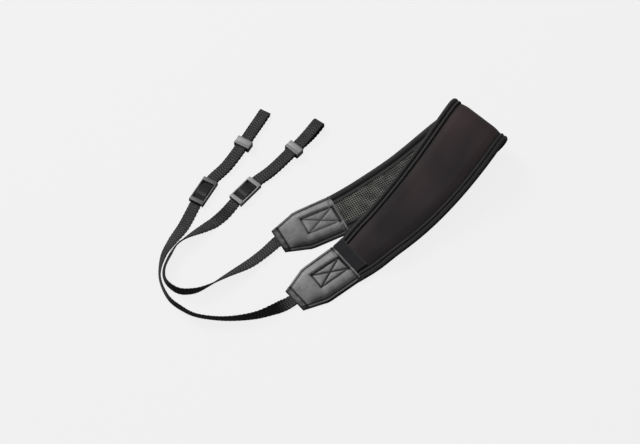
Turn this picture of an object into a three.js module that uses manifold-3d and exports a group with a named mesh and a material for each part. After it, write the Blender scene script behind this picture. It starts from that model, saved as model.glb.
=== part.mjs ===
// Neck strap for a pair of binoculars, lying folded on a table.
//
// A wide padded neck piece is folded in two. Each of its ends runs into a leather patch, and out
// of each patch comes a narrow webbing strap that passes through an adjuster and a keeper, goes
// round in a loop for the binoculars' lug, and comes back through both.
//
// Millimetres, +Z up. The table is z = 0, and the origin is under the middle of the whole strap.

import * as THREE from 'three';
import { mergeVertices } from 'three/addons/utils/BufferGeometryUtils.js';
import Module from 'manifold-3d';

const wasm = await Module();
wasm.setup();

// ---------------------------------------------------------------- driving dimensions

const GAP = 0.3; // air between two pieces that touch

// The neck piece is cut flat along an arc, then folded over a line called the fold.
const PAD = {
  thickness: 5,
  patternRadius: 525, // of the centre line of the flat pattern
  frontLength: 163, // from the top of the fold to the front patch, along the centre line
  backLength: 173.5, // from the top of the fold to the back patch
  widest: -2, // where the pad is widest, past the top of the fold
  sway: 0.9, // of the front run's end to the right of the centre line
};

// Width of the neck piece at a distance from its widest place, the same both ways.
const PAD_WIDTHS = [
  { away: 0, width: 58.4 },
  { away: 45, width: 57.6 },
  { away: 90, width: 53.6 },
  { away: 130, width: 46.6 },
  { away: 155, width: 41.4 },
  { away: 175, width: 38.6 },
];

// How the folded neck piece lies on the table.
const FOLD = {
  x: 117.7, // centre line at the top of the fold
  y: 69.4,
  bearing: THREE.MathUtils.degToRad(51), // from +X to the way the fold points
  heading: THREE.MathUtils.degToRad(5.4), // of the centre line across the fold
  radius: 12, // of the middle of the pad, before it settles
};

// How the fold settles: the back run lifts towards it, and its bend stands a little taller at its
// left end than at its right.
const SETTLED = {
  lift: 6.5, // of the back run at the fold
  liftStart: 8, // away from the fold, where the lift starts to fade
  liftEnd: 64, // where the back run lies on the table
  crest: 2.6, // rise of the front run at the fold
  lean: 0.09, // how much lower the crest is for each millimetre to the right
  crestReach: 40,
  squeeze: 0.9, // share of its depth that the bend keeps
  taper: 0.004, // how much less that is for each millimetre to the right
};

// The front run, in the plane across the fold: it slopes down over the back run, then steps off it.
const FRONT_RUN = {
  slopeEnd: 126,
  slopeEndHeight: 8.4,
  landing: 154,
};

const TAPE = { width: 7.2, thickness: 0.8, height: 2 }; // binding, and its reach from mid-thickness
const LINING = { thickness: 0.8, inset: 7.5, recess: 0.2 }; // recess: below the tape's inner face
const TONGUE = { width: 25, thickness: 2.2, length: 20, slack: 1.8 }; // pad end, inside a patch
const LABEL = { length: 11, thickness: 0.7, reach: 11.5 }; // reach: past the centre line

// A patch along its length, from the wide end that takes the pad.
const PATCH_SECTIONS = [
  { along: 0, width: 36.2, height: 5.4 },
  { along: 2, width: 36.4, height: 5.6 },
  { along: 30, width: 35.6, height: 5.4 },
  { along: 34.5, width: 34.8, height: 5.2 },
  { along: 38.5, width: 31.8, height: 4.9 },
  { along: 42.5, width: 29.2, height: 4.6 },
  { along: 54.5, width: 21, height: 3.8 },
];
const PATCH = {
  length: 54.5,
  wall: 1, // leather under the pad's tongue and under the webbing
  webbingDepth: 30,
  frontWebbingOffset: 0.6, // the front strap leaves its patch off centre
};

const WEBBING = { width: 10, thickness: 1.3 };

// The straps lie on the table between their patch and their adjuster. roll is the turn of the
// webbing's face about its run, in degrees: 0 is flat, outer face up, and 90 is on its edge.
const FRONT_ROUTE = [
  { x: -40.1, y: -86.8, roll: 12, lift: 0.8 },
  { x: -49.3, y: -92.3, roll: 54 },
  { x: -65.6, y: -98.5, roll: 82 },
  { x: -88.6, y: -101.2, roll: 98 },
  { x: -110.6, y: -98.7, roll: 101 },
  { x: -124, y: -92.2, roll: 94 },
  { x: -135.8, y: -81.8, roll: 90 },
  { x: -143.3, y: -63.6, roll: 83 },
  { x: -141.3, y: -43.6, roll: 53 },
  { x: -134.9, y: -29, roll: 27 },
  { x: -126.1, y: -13.2, roll: 2 },
];
const BACK_ROUTE = [
  { x: -58.6, y: -38.9, roll: 168 },
  { x: -71, y: -49.6, roll: 161 },
  { x: -88, y: -61, roll: 132 },
  { x: -103.4, y: -71, roll: 110 },
  { x: -114.8, y: -75.9, roll: 94 },
  { x: -127.6, y: -75.8, roll: 88 },
  { x: -137.8, y: -67.6, roll: 88 },
  { x: -140.2, y: -56.4, roll: 74 },
  { x: -136.3, y: -43.6, roll: 65 },
  { x: -130.7, y: -32.8, roll: 68 },
  { x: -123.1, y: -26, roll: 57 },
  { x: -107.2, y: -14.6, roll: 14 },
  { x: -93.6, y: -3.4, roll: -14 },
];

// Past the adjuster each strap runs flat: its middle passes the keeper and ends at the lug loop.
const FRONT_LEAD = {
  adjuster: { x: -110.6, y: 19.4, bearing: 61 },
  between: { x: -92.1, y: 44.3 },
  keeper: { x: -78, y: 66.4 },
  outer: { x: -69, y: 83 },
  tip: { x: -59.8, y: 99.8 },
  loopHeight: 4.2,
};
const BACK_LEAD = {
  adjuster: { x: -75.4, y: 19.6, bearing: 49 },
  between: { x: -54, y: 40.2 },
  keeper: { x: -34.8, y: 61 },
  outer: { x: -22.8, y: 74.8 },
  tip: { x: -13, y: 88.4 },
  loopHeight: 7,
};

const ADJUSTER = {
  length: 25.5,
  width: 13.4,
  rail: 1.3, // side rails
  endBar: 3.8,
  endBarThickness: 1.7,
  middleBar: 3.2,
  middleBarThickness: 1.2,
};
const KEEPER = { length: 8, width: 14.2, height: 6.6, wall: 1.1 };

// ---------------------------------------------------------------- solids

// A closed solid through rings of points. Each station has a flat outline and a function that
// places a point of it, and the outlines all have as many points.
function loft(stations) {
  const size = stations[0].outline.length;
  const rings = stations.map(({ outline, place }) => outline.map((corner) => place(corner)));
  const positions = rings.flat().flatMap((point) => point.toArray());
  const triangles = [];
  for (let ring = 0; ring < rings.length - 1; ring += 1) {
    for (let corner = 0; corner < size; corner += 1) {
      const here = ring * size + corner;
      const next = ring * size + ((corner + 1) % size);
      triangles.push([here, next, next + size], [here, next + size, here + size]);
    }
  }
  const last = (rings.length - 1) * size;
  for (const [a, b, c] of cap(stations[0].outline)) {
    triangles.push([c, b, a]);
  }
  for (const [a, b, c] of cap(stations.at(-1).outline)) {
    triangles.push([last + a, last + b, last + c]);
  }
  return solidGeometry(positions, triangles);
}

// Triangles that fill an outline, turning the way its points run.
function cap(outline) {
  const triangles = THREE.ShapeUtils.triangulateShape(outline, []);
  return THREE.ShapeUtils.isClockWise(outline) ? triangles.map((t) => t.reverse()) : triangles;
}

// Six times the volume that the triangles enclose, negative when they face inwards.
function enclosed(positions, triangles) {
  const corner = (index) => new THREE.Vector3().fromArray(positions, index * 3);
  return triangles.reduce((sum, [a, b, c]) => sum + corner(a).dot(corner(b).cross(corner(c))), 0);
}

function solidGeometry(positions, triangles) {
  const outward = enclosed(positions, triangles) > 0;
  const index = triangles.flatMap(([a, b, c]) => (outward ? [a, b, c] : [a, c, b]));
  const geometry = new THREE.BufferGeometry();
  geometry.setAttribute('position', new THREE.Float32BufferAttribute(positions, 3));
  geometry.setIndex(index);
  geometry.computeVertexNormals();
  return geometry;
}

function toManifold(geometry) {
  const bare = geometry.clone();
  bare.deleteAttribute('normal');
  bare.deleteAttribute('uv');
  const merged = mergeVertices(bare, 1e-4);
  return new wasm.Manifold(new wasm.Mesh({
    numProp: 3,
    vertProperties: new Float32Array(merged.attributes.position.array),
    triVerts: new Uint32Array(merged.index.array),
  }));
}

// The first geometry with the others cut out of it.
function cut(geometry, ...tools) {
  const solid = tools.reduce((rest, tool) => rest.subtract(toManifold(tool)), toManifold(geometry));
  const mesh = solid.getMesh();
  const result = new THREE.BufferGeometry();
  result.setAttribute('position', new THREE.Float32BufferAttribute(mesh.vertProperties, 3));
  result.setIndex([...mesh.triVerts]);
  result.computeVertexNormals();
  return result;
}

// A box between two values on each axis.
function boxBetween([x0, x1], [y0, y1], [z0, z1]) {
  const box = new THREE.BoxGeometry(x1 - x0, y1 - y0, z1 - z0);
  return box.translate((x0 + x1) / 2, (y0 + y1) / 2, (z0 + z1) / 2);
}

// A smooth curve through the rows of a table that is level at its first row, read at a place.
function tableValue(rows, key, column, at) {
  const slope = (i) => (
    i === 0 || i === rows.length - 1
      ? 0
      : (rows[i + 1][column] - rows[i - 1][column]) / (rows[i + 1][key] - rows[i - 1][key])
  );
  const next = Math.max(1, rows.findIndex((row) => row[key] >= at));
  const [low, high] = [rows[next - 1], rows[next]];
  const span = high[key] - low[key];
  const t = (at - low[key]) / span;
  const rise = t * t * (3 - 2 * t);
  const leave = t * (1 - t) * (1 - t) * span * slope(next - 1);
  const arrive = t * t * (1 - t) * span * slope(next);
  return THREE.MathUtils.lerp(low[column], high[column], rise) + leave - arrive;
}

// Evenly spaced values through the given stops, each stop but the first with its number of steps.
function spaced(stops) {
  const values = [stops[0].at];
  for (let i = 1; i < stops.length; i += 1) {
    for (let step = 1; step <= stops[i].steps; step += 1) {
      values.push(THREE.MathUtils.lerp(stops[i - 1].at, stops[i].at, step / stops[i].steps));
    }
  }
  return values;
}

// ---------------------------------------------------------------- materials

function finish(color, roughness) {
  return new THREE.MeshStandardMaterial({ color, roughness, metalness: 0 });
}

const MATERIALS = {
  padCloth: finish(0x332d2f, 0.75),
  mesh: finish(0x4a4c48, 0.85),
  tape: finish(0x1b1c1b, 0.8),
  leather: finish(0x5c5c5c, 0.55),
  label: finish(0x23252c, 0.7),
  webbing: finish(0x242424, 0.8),
  plastic: finish(0x7c7c7c, 0.45),
};

function piece(name, geometry, material) {
  const mesh = new THREE.Mesh(geometry, material);
  mesh.name = name;
  return mesh;
}

// ---------------------------------------------------------------- the folded neck piece

const BACK_RUN_LENGTH = 190;
const TURN_LENGTH = Math.PI * FOLD.radius;

// Middle of the pad's thickness in the plane across the fold: x away from the fold, y up. It comes
// in along the back run, turns over the fold and goes out along the front run.
function foldPath() {
  const low = PAD.thickness / 2;
  const top = low + 2 * FOLD.radius;
  const { slopeEnd, slopeEndHeight, landing } = FRONT_RUN;
  const path = new THREE.CurvePath();
  const at = (x, y) => new THREE.Vector2(x, y);
  path.add(new THREE.LineCurve(at(BACK_RUN_LENGTH, low), at(0, low)));
  path.add(new THREE.EllipseCurve(
    0, low + FOLD.radius, FOLD.radius, FOLD.radius, -Math.PI / 2, Math.PI / 2, true,
  ));
  path.add(new THREE.CubicBezierCurve(
    at(0, top), at(30, top), at(slopeEnd - 40, slopeEndHeight + 2), at(slopeEnd, slopeEndHeight),
  ));
  path.add(new THREE.CubicBezierCurve(
    at(slopeEnd, slopeEndHeight), at(slopeEnd + 14, slopeEndHeight - 1.1),
    at(landing - 12, low), at(landing, low),
  ));
  path.add(new THREE.LineCurve(at(landing, low), at(landing + 40, low)));
  return path;
}

const FOLD_PATH = foldPath();
const AWAY = new THREE.Vector2(-Math.cos(FOLD.bearing), -Math.sin(FOLD.bearing));
const SIDE = new THREE.Vector2(Math.sin(FOLD.bearing), -Math.cos(FOLD.bearing));

// The pad's middle at a distance along the fold's path, once the fold has settled: x away from the
// fold, y up. beside is how far the point is to the right of the path.
function settled(distance, beside) {
  const middle = FOLD_PATH.getPoint(distance / FOLD_PATH.getLength());
  const turned = THREE.MathUtils.clamp((distance - BACK_RUN_LENGTH) / TURN_LENGTH, 0, 1);
  const upper = (1 - Math.cos(Math.PI * turned)) / 2;
  const onTable = THREE.MathUtils.smoothstep(middle.x, SETTLED.liftStart, SETTLED.liftEnd);
  const byFold = Math.exp(-((Math.max(middle.x, 0) / SETTLED.crestReach) ** 2));
  middle.y += SETTLED.lift * (1 - upper) * (1 - onTable);
  middle.y += (SETTLED.crest - SETTLED.lean * beside) * upper * byFold;
  if (middle.x < 0) middle.x *= SETTLED.squeeze * (1 - SETTLED.taper * beside);
  return middle;
}

// Where a point of the flat pattern lies once the pad is folded. along follows the centre line from
// the top of the fold, across is to its right, and off is off the middle, towards the outer face.
function onPad(along, across, off) {
  const heading = FOLD.heading - along / PAD.patternRadius;
  const radius = PAD.patternRadius + across;
  const past = PAD.patternRadius * Math.sin(FOLD.heading) - radius * Math.sin(heading);
  const beside = radius * Math.cos(heading) - PAD.patternRadius * Math.cos(FOLD.heading);
  const distance = BACK_RUN_LENGTH + TURN_LENGTH + past;
  const middle = settled(distance, beside);
  const tangent = settled(distance + 0.2, beside).sub(settled(distance - 0.2, beside)).normalize();
  const away = middle.x - tangent.y * off;
  return new THREE.Vector3(
    FOLD.x + away * AWAY.x + beside * SIDE.x,
    FOLD.y + away * AWAY.y + beside * SIDE.y,
    middle.y + tangent.x * off,
  );
}

function halfWidth(along) {
  return tableValue(PAD_WIDTHS, 'away', 'width', Math.abs(along - PAD.widest)) / 2;
}

function padStation(along, outline) {
  const sway = PAD.sway * THREE.MathUtils.smoothstep(along, 0, PAD.frontLength);
  return { outline, place: (corner) => onPad(along, corner.x + sway, corner.y) };
}

// Places along the pad where its pieces have a section, close together where it turns.
const PAD_PLACES = spaced([
  { at: GAP - PAD.backLength },
  { at: -50, steps: 10 },
  { at: 8, steps: 20 },
  { at: 118, steps: 9 },
  { at: PAD.frontLength - GAP, steps: 8 },
]);

// An outline point for each [across, off] pair, then the same points mirrored, going back.
function mirroredOutline(pairs) {
  const right = pairs.map(([across, off]) => new THREE.Vector2(across, off));
  const left = pairs.map(([across, off]) => new THREE.Vector2(-across, off)).reverse();
  return [...right, ...left];
}

// The pad: full in the middle, thin where the tape wraps it.
function padOutline(along) {
  const half = halfWidth(along);
  const face = PAD.thickness / 2;
  const under = face - LINING.recess - LINING.thickness - GAP;
  const pinched = TAPE.height - TAPE.thickness - GAP;
  const body = half - TAPE.width - 1;
  const lip = half - TAPE.width - GAP;
  const edge = half - TAPE.thickness - GAP;
  return mirroredOutline([
    [body / 3, -under],
    [body, -under],
    [lip, -pinched],
    [edge, -pinched + 0.2],
    [edge, pinched - 0.2],
    [lip, pinched],
    [lip, face - 0.2],
    [body, face],
    [body / 3, face],
  ]);
}

// The tongue that each end of the pad sends into its patch.
function tongueOutline(along) {
  const full = padOutline(along);
  const wide = Math.max(...full.map((corner) => corner.x));
  const tall = Math.max(...full.map((corner) => corner.y));
  const scale = new THREE.Vector2(TONGUE.width / 2 / wide, TONGUE.thickness / 2 / tall);
  return full.map((corner) => corner.clone().multiply(scale));
}

function neckPad() {
  const ends = [PAD_PLACES[0], PAD_PLACES.at(-1)];
  const [backTongue, frontTongue] = ends.map((along) => {
    const tip = along + Math.sign(along) * TONGUE.length;
    return [padStation(tip, tongueOutline(along)), padStation(along, tongueOutline(along))];
  });
  const body = PAD_PLACES.map((along) => padStation(along, padOutline(along)));
  return loft([...backTongue, ...body, ...frontTongue.reverse()]);
}

function meshLining() {
  const inner = LINING.recess - PAD.thickness / 2;
  return loft(PAD_PLACES.map((along) => {
    const half = halfWidth(along) - LINING.inset;
    return padStation(along, mirroredOutline([
      [half / 3, inner],
      [half, inner],
      [half, inner + LINING.thickness],
      [half / 3, inner + LINING.thickness],
    ]));
  }));
}

// Binding tape along one edge: side is +1 for the right edge, -1 for the left.
function bindingTape(side) {
  const { width, thickness, height } = TAPE;
  const profile = [
    [width, height],
    [1.8, height - 0.1],
    [0.5, 1.3],
    [0, 0],
    [0.5, -1.3],
    [1.8, 0.1 - height],
    [width, -height],
    [width, thickness - height],
    [thickness + 0.1, thickness - height + 0.1],
    [thickness + 0.1, height - thickness - 0.1],
    [width, height - thickness],
  ];
  return loft(PAD_PLACES.map((along) => {
    const half = halfWidth(along);
    const outline = profile.map(([inset, off]) => new THREE.Vector2(side * (half - inset), off));
    return padStation(along, outline);
  }));
}

// A woven label across the pad where it meets the front patch, lapping over the left binding.
function labelTab() {
  const under = PAD.thickness / 2 + GAP;
  const end = PAD.frontLength - GAP;
  return loft(spaced([{ at: end - LABEL.length }, { at: end, steps: 3 }]).map((along) => {
    const half = halfWidth(along);
    const line = [
      [LABEL.reach, under],
      [0, under],
      [TAPE.width - half, under],
      [1.8 - half, under - 0.4],
      [0.2 - half, under - 0.9],
    ];
    const lower = line.map(([across, off]) => new THREE.Vector2(across, off));
    const upper = line.map(([across, off]) => new THREE.Vector2(across, off + LABEL.thickness));
    return padStation(along, [...lower, ...upper.reverse()]);
  }));
}

// ---------------------------------------------------------------- leather patches

// A patch on the table with x from its wide end to its narrow end. The pad's tongue goes in at the
// wide end, and the webbing at the narrow end, offset to the right by the given distance.
function endPatch(webbingOffset) {
  const { length, wall, webbingDepth } = PATCH;
  const sleeve = loft(PATCH_SECTIONS.map(({ along, width, height }) => {
    const half = width / 2;
    const outline = mirroredOutline([
      [half - 0.8, 0],
      [half, 0.9],
      [half, height - 1.8],
      [half - 1.4, height - 0.5],
      [half - 4, height],
    ]);
    return { outline, place: (corner) => new THREE.Vector3(along, corner.x, corner.y) };
  }));
  const tongueHalf = TONGUE.width / 2 + TONGUE.slack;
  const padMiddle = PAD.thickness / 2;
  const tongueReach = TONGUE.thickness / 2 + GAP;
  const webbingHalf = WEBBING.width / 2 + GAP;
  const pocket = boxBetween(
    [-1, TONGUE.length + GAP],
    [-tongueHalf, tongueHalf],
    [padMiddle - tongueReach, padMiddle + tongueReach],
  );
  const slot = boxBetween(
    [length - webbingDepth - GAP, length + 1],
    [-webbingOffset - webbingHalf, -webbingOffset + webbingHalf],
    [wall, wall + WEBBING.thickness + 2 * GAP],
  );
  return cut(sleeve, pocket, slot);
}

// Where a patch starts and which way it runs. end is +1 for the front run, -1 for the back run.
function patchPose(end) {
  const along = end > 0 ? PAD.frontLength : -PAD.backLength;
  const start = onPad(along, 0, 0);
  const heading = onPad(along + end, 0, 0).sub(start);
  return { start, bearing: Math.atan2(heading.y, heading.x) };
}

function placePatch(mesh, end) {
  const { start, bearing } = patchPose(end);
  mesh.position.set(start.x, start.y, 0);
  mesh.rotation.z = bearing;
  return mesh;
}

// ---------------------------------------------------------------- webbing

// The flat rectangle of the webbing's section.
function webbingOutline() {
  const half = WEBBING.width / 2;
  const face = WEBBING.thickness / 2;
  return [[-half, -face], [half, -face], [half, face], [-half, face]].map(
    ([across, off]) => new THREE.Vector2(across, off),
  );
}

// A section of webbing at a point, with unit vectors across it and off its outer face.
function webbingStation(middle, across, off) {
  const place = (corner) => middle.clone()
    .addScaledVector(across, corner.x)
    .addScaledVector(off, corner.y);
  return { outline: webbingOutline(), place };
}

// Height of the webbing's middle when it rests on the table on its lower edge.
function restingHeight(roll) {
  const { width, thickness } = WEBBING;
  return (Math.abs(Math.sin(roll)) * width + Math.abs(Math.cos(roll)) * thickness) / 2;
}

// The strap from inside its patch to its adjuster, through rows of { x, y, roll, lift }.
function routeStations(rows, stepsPerRow) {
  const curve = (points) => new THREE.CatmullRomCurve3(points, false, 'catmullrom', 0.5);
  const path = curve(rows.map(({ x, y }) => new THREE.Vector3(x, y, 0)));
  const turn = curve(rows.map(({ roll, lift = 0 }) => new THREE.Vector3(roll, lift, 0)));
  const count = (rows.length - 1) * stepsPerRow;
  const up = new THREE.Vector3(0, 0, 1);
  return Array.from({ length: count + 1 }, (_, step) => {
    const { x: degrees, y: lift } = turn.getPoint(step / count);
    const roll = THREE.MathUtils.degToRad(degrees);
    const middle = path.getPoint(step / count).setZ(restingHeight(roll) + Math.max(lift, 0));
    const right = path.getTangent(step / count).cross(up).normalize();
    const across = right.clone().multiplyScalar(Math.cos(roll)).addScaledVector(up, Math.sin(roll));
    const off = up.clone().multiplyScalar(Math.cos(roll)).addScaledVector(right, -Math.sin(roll));
    return webbingStation(middle, across, off);
  });
}

// Rows of a strap's route inside and just outside its patch. roll is 0 or 180, as the pad lies.
function patchRows(end, webbingOffset, roll) {
  const { start, bearing } = patchPose(end);
  const along = new THREE.Vector2(Math.cos(bearing), Math.sin(bearing));
  const row = (distance, lift) => ({
    x: start.x + along.x * distance + along.y * webbingOffset,
    y: start.y + along.y * distance - along.x * webbingOffset,
    roll,
    lift,
  });
  const inside = PATCH.wall + GAP;
  const { length, webbingDepth } = PATCH;
  return [
    row(length - webbingDepth, inside),
    row(length - 12, inside),
    row(length - 1, inside),
    row(length + 1, inside),
  ];
}

// ---------------------------------------------------------------- flat end of a strap

const LAYER = WEBBING.thickness + GAP; // rise from one layer of webbing to the next
const FIRST = WEBBING.thickness / 2; // middle of a layer that lies on the table
const END_BAR_BOTTOM = 2 * LAYER;
const MIDDLE_BAR_TOP = 1.9;
const LIFT_IN = 0.4; // of the webbing where it comes to the adjuster
const LEAD_REACH = ADJUSTER.length / 2 + 1; // straight line either side of an adjuster's middle
const KEEPER_REACH = 6; // level webbing either side of a keeper's middle
const KEEPER_SLACK = 0.6; // extra air between the two layers in a keeper
const TIP_REACH = 9; // level webbing before the turn at the tip

// How the webbing humps over the middle bar, as distances from the bar and drops from the crown.
const HUMP = { crown: 2.2, shoulder: 5.6, shoulderDrop: 1.1, foot: 9.2, settled: 16 };

// The middle line of the flat end, on the table, from before the adjuster to the tip of the loop.
function leadLine(lead) {
  const bearing = THREE.MathUtils.degToRad(lead.adjuster.bearing);
  const point = ({ x, y }) => new THREE.Vector3(x, y, 0);
  const centre = point(lead.adjuster);
  const half = new THREE.Vector3(Math.cos(bearing), Math.sin(bearing), 0);
  half.multiplyScalar(LEAD_REACH);
  return new THREE.CatmullRomCurve3([
    centre.clone().sub(half),
    centre,
    centre.clone().add(half),
    point(lead.between),
    point(lead.keeper),
    point(lead.outer),
    point(lead.tip),
  ]);
}

// Distances of the adjuster, the keeper and the tip along a lead line.
function leadDistances(lead) {
  const line = leadLine(lead);
  const lengths = line.getLengths(600);
  const keeper = lengths[400]; // the keeper is the fifth of the line's seven points
  return { line, length: line.getLength(), adjuster: LEAD_REACH, keeper };
}

function tipRadius(loopHeight) {
  return (loopHeight - WEBBING.thickness) / 2;
}

// Heights of the upper layer of webbing, from under the adjuster's first bar to the loop.
function upperLayer({ adjuster, keeper, length }, loopHeight) {
  const crown = MIDDLE_BAR_TOP + GAP + LAYER + FIRST - 0.05;
  const level = FIRST + LAYER;
  const inKeeper = KEEPER.wall + GAP + KEEPER_SLACK + level;
  const turn = length - tipRadius(loopHeight);
  const top = FIRST + 2 * tipRadius(loopHeight);
  return [
    { at: 0, z: FIRST + LIFT_IN },
    { at: adjuster - HUMP.foot, z: level - 0.1 },
    { at: adjuster - HUMP.shoulder, z: crown - HUMP.shoulderDrop },
    { at: adjuster - HUMP.crown, z: crown },
    { at: adjuster + HUMP.crown, z: crown },
    { at: adjuster + HUMP.shoulder, z: crown - HUMP.shoulderDrop },
    { at: adjuster + HUMP.foot, z: level },
    { at: adjuster + HUMP.settled, z: level },
    { at: keeper - KEEPER_REACH, z: inKeeper },
    { at: keeper + KEEPER_REACH, z: inKeeper },
    { at: turn - TIP_REACH, z: top - 0.1 },
    { at: turn, z: top },
  ];
}

// Heights of the lower layer, from the loop back to its end over the adjuster's middle bar.
function lowerLayer({ adjuster, keeper, length }, loopHeight) {
  const crown = MIDDLE_BAR_TOP + GAP + FIRST;
  const inKeeper = KEEPER.wall + GAP + FIRST;
  const turn = length - tipRadius(loopHeight);
  return [
    { at: turn, z: FIRST },
    { at: turn - TIP_REACH, z: FIRST },
    { at: keeper + KEEPER_REACH, z: inKeeper },
    { at: keeper - KEEPER_REACH, z: inKeeper },
    { at: adjuster + HUMP.settled, z: FIRST },
    { at: adjuster + HUMP.foot, z: FIRST },
    { at: adjuster + HUMP.shoulder, z: crown - HUMP.shoulderDrop },
    { at: adjuster + HUMP.crown, z: crown },
    { at: adjuster - HUMP.crown, z: crown },
    { at: adjuster - HUMP.shoulder, z: crown - HUMP.shoulderDrop },
  ];
}

// Half a turn at the tip, from the upper layer down to the lower one.
function tipTurn({ length }, loopHeight) {
  const radius = tipRadius(loopHeight);
  const steps = 7;
  return Array.from({ length: steps - 1 }, (_, i) => {
    const angle = (Math.PI * (i + 1)) / steps;
    return {
      at: length - radius + radius * Math.sin(angle),
      z: FIRST + radius + radius * Math.cos(angle),
    };
  });
}

// Smooths a list of { at, z } into stations of webbing along the lead line.
function leadStations(distances, rows, stepsPerRow) {
  const curve = new THREE.CatmullRomCurve3(
    rows.map(({ at, z }) => new THREE.Vector3(at, 0, z)), false, 'centripetal',
  );
  const { line, length } = distances;
  const count = (rows.length - 1) * stepsPerRow;
  return Array.from({ length: count + 1 }, (_, step) => {
    const { x: at, z } = curve.getPoint(step / count);
    const slope = curve.getTangent(step / count);
    const share = THREE.MathUtils.clamp(at / length, 0, 1);
    const middle = line.getPointAt(share).setZ(Math.max(z, FIRST));
    const forward = line.getTangentAt(share);
    const across = new THREE.Vector3(forward.y, -forward.x, 0);
    const off = new THREE.Vector3(0, 0, slope.x).addScaledVector(forward, -slope.z);
    return webbingStation(middle, across, off.normalize());
  });
}

// The main strap ends under the adjuster's far bar, where the lug loop's webbing takes over.
function strap(end, webbingOffset, roll, route, lead) {
  const distances = leadDistances(lead);
  const rows = [...patchRows(end, webbingOffset, roll), ...route];
  const start = distances.line.getPoint(0);
  rows.push({ x: start.x, y: start.y, roll: 0, lift: LIFT_IN });
  const split = upperLayer(distances, lead.loopHeight).filter(
    ({ at }) => at > 0 && at <= distances.adjuster + HUMP.foot,
  );
  const threaded = leadStations(distances, split, 2);
  return loft([...routeStations(rows, 4), ...threaded]);
}

function lugLoop(lead) {
  const distances = leadDistances(lead);
  const upper = upperLayer(distances, lead.loopHeight);
  const first = upper.find(({ at }) => at >= distances.adjuster + HUMP.foot);
  const rows = [
    { at: first.at + GAP, z: first.z },
    ...upper.filter(({ at }) => at > first.at),
    ...tipTurn(distances, lead.loopHeight),
    ...lowerLayer(distances, lead.loopHeight),
  ];
  return loft(leadStations(distances, rows, 2));
}

// ---------------------------------------------------------------- plastic fittings

// Three-bar adjuster with x along the strap: a frame with a lower bar across its middle.
function adjuster() {
  const { length, width, rail, endBar, endBarThickness, middleBar, middleBarThickness } = ADJUSTER;
  const top = END_BAR_BOTTOM + endBarThickness;
  const half = length / 2;
  const inside = width / 2 - rail;
  const across = [-inside, inside];
  const block = boxBetween([-half, half], [-width / 2, width / 2], [GAP, top]);
  const window = half - endBar;
  const middle = middleBar / 2;
  const underside = MIDDLE_BAR_TOP - middleBarThickness;
  return cut(
    block,
    boxBetween([-window, -middle], across, [-1, top + 1]),
    boxBetween([middle, window], across, [-1, top + 1]),
    boxBetween([-half - 1, -window + 1], across, [-1, END_BAR_BOTTOM]),
    boxBetween([window - 1, half + 1], across, [-1, END_BAR_BOTTOM]),
    boxBetween([-middle - 1, middle + 1], across, [-1, underside]),
    boxBetween([-middle - 1, middle + 1], across, [MIDDLE_BAR_TOP, top + 1]),
  );
}

// Keeper: a rectangular plastic loop around both layers, standing on the table.
function keeper() {
  const { length, width, height, wall } = KEEPER;
  const outside = width / 2;
  const inside = outside - wall;
  return cut(
    boxBetween([-length / 2, length / 2], [-outside, outside], [0, height]),
    boxBetween([-length, length], [-inside, inside], [wall, height - wall]),
  );
}

// Puts a fitting on a lead line, at a distance along it.
function placeOnLead(mesh, lead, distanceName) {
  const distances = leadDistances(lead);
  const share = distances[distanceName] / distances.length;
  mesh.position.copy(distances.line.getPointAt(share));
  const forward = distances.line.getTangentAt(share);
  mesh.rotation.z = Math.atan2(forward.y, forward.x);
  return mesh;
}

// ---------------------------------------------------------------- assembly

function neckPiece() {
  const group = new THREE.Group();
  group.add(
    piece('neck_pad', neckPad(), MATERIALS.padCloth),
    piece('mesh_lining', meshLining(), MATERIALS.mesh),
    piece('binding_outer_edge', bindingTape(1), MATERIALS.tape),
    piece('binding_inner_edge', bindingTape(-1), MATERIALS.tape),
    piece('label_tab', labelTab(), MATERIALS.label),
  );
  return group;
}

// One end of the strap: its patch, webbing, adjuster, keeper and lug loop.
function strapEnd({ suffix, end, webbingOffset, roll, route, lead }) {
  const group = new THREE.Group();
  const named = (part) => `${part}_${suffix}`;
  const { leather, webbing, plastic } = MATERIALS;
  group.add(
    placePatch(piece(named('end_patch'), endPatch(webbingOffset), leather), end),
    piece(named('webbing'), strap(end, webbingOffset, roll, route, lead), webbing),
    piece(named('lug_loop'), lugLoop(lead), webbing),
    placeOnLead(piece(named('adjuster'), adjuster(), plastic), lead, 'adjuster'),
    placeOnLead(piece(named('keeper'), keeper(), plastic), lead, 'keeper'),
  );
  return group;
}

const neckStrap = new THREE.Group();
neckStrap.add(
  neckPiece(),
  strapEnd({
    suffix: 'front',
    end: 1,
    webbingOffset: PATCH.frontWebbingOffset,
    roll: 0,
    route: FRONT_ROUTE,
    lead: FRONT_LEAD,
  }),
  strapEnd({
    suffix: 'back',
    end: -1,
    webbingOffset: 0,
    roll: 180,
    route: BACK_ROUTE,
    lead: BACK_LEAD,
  }),
);

export default neckStrap;
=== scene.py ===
"""Neck strap for a pair of binoculars, lying folded on a table.

A padded neck piece is folded in two. Both of its ends run into a leather patch, and out of each
patch comes ribbed webbing that passes an adjuster and a keeper and doubles back in a lug loop.

Every piece is made flat, in millimetres, the way it is cut or moulded, and is then laid in place:
the pad and what is sewn to it go over the fold, and the webbing follows its route. The flat place
of each point stays on the mesh as the attribute "flat", and the weaves and grains follow it. The
attribute "wear" holds painted light: it goes from -1, painted shade in a deep groove, to 1, a
painted highlight on a high spot.
"""

import logging
import math
from collections.abc import Callable, Iterable, Mapping, Sequence
from dataclasses import dataclass, field
from enum import Enum
from typing import Any, Protocol

import bmesh
import bpy
import numpy as np
from mathutils import Matrix, Vector


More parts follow.
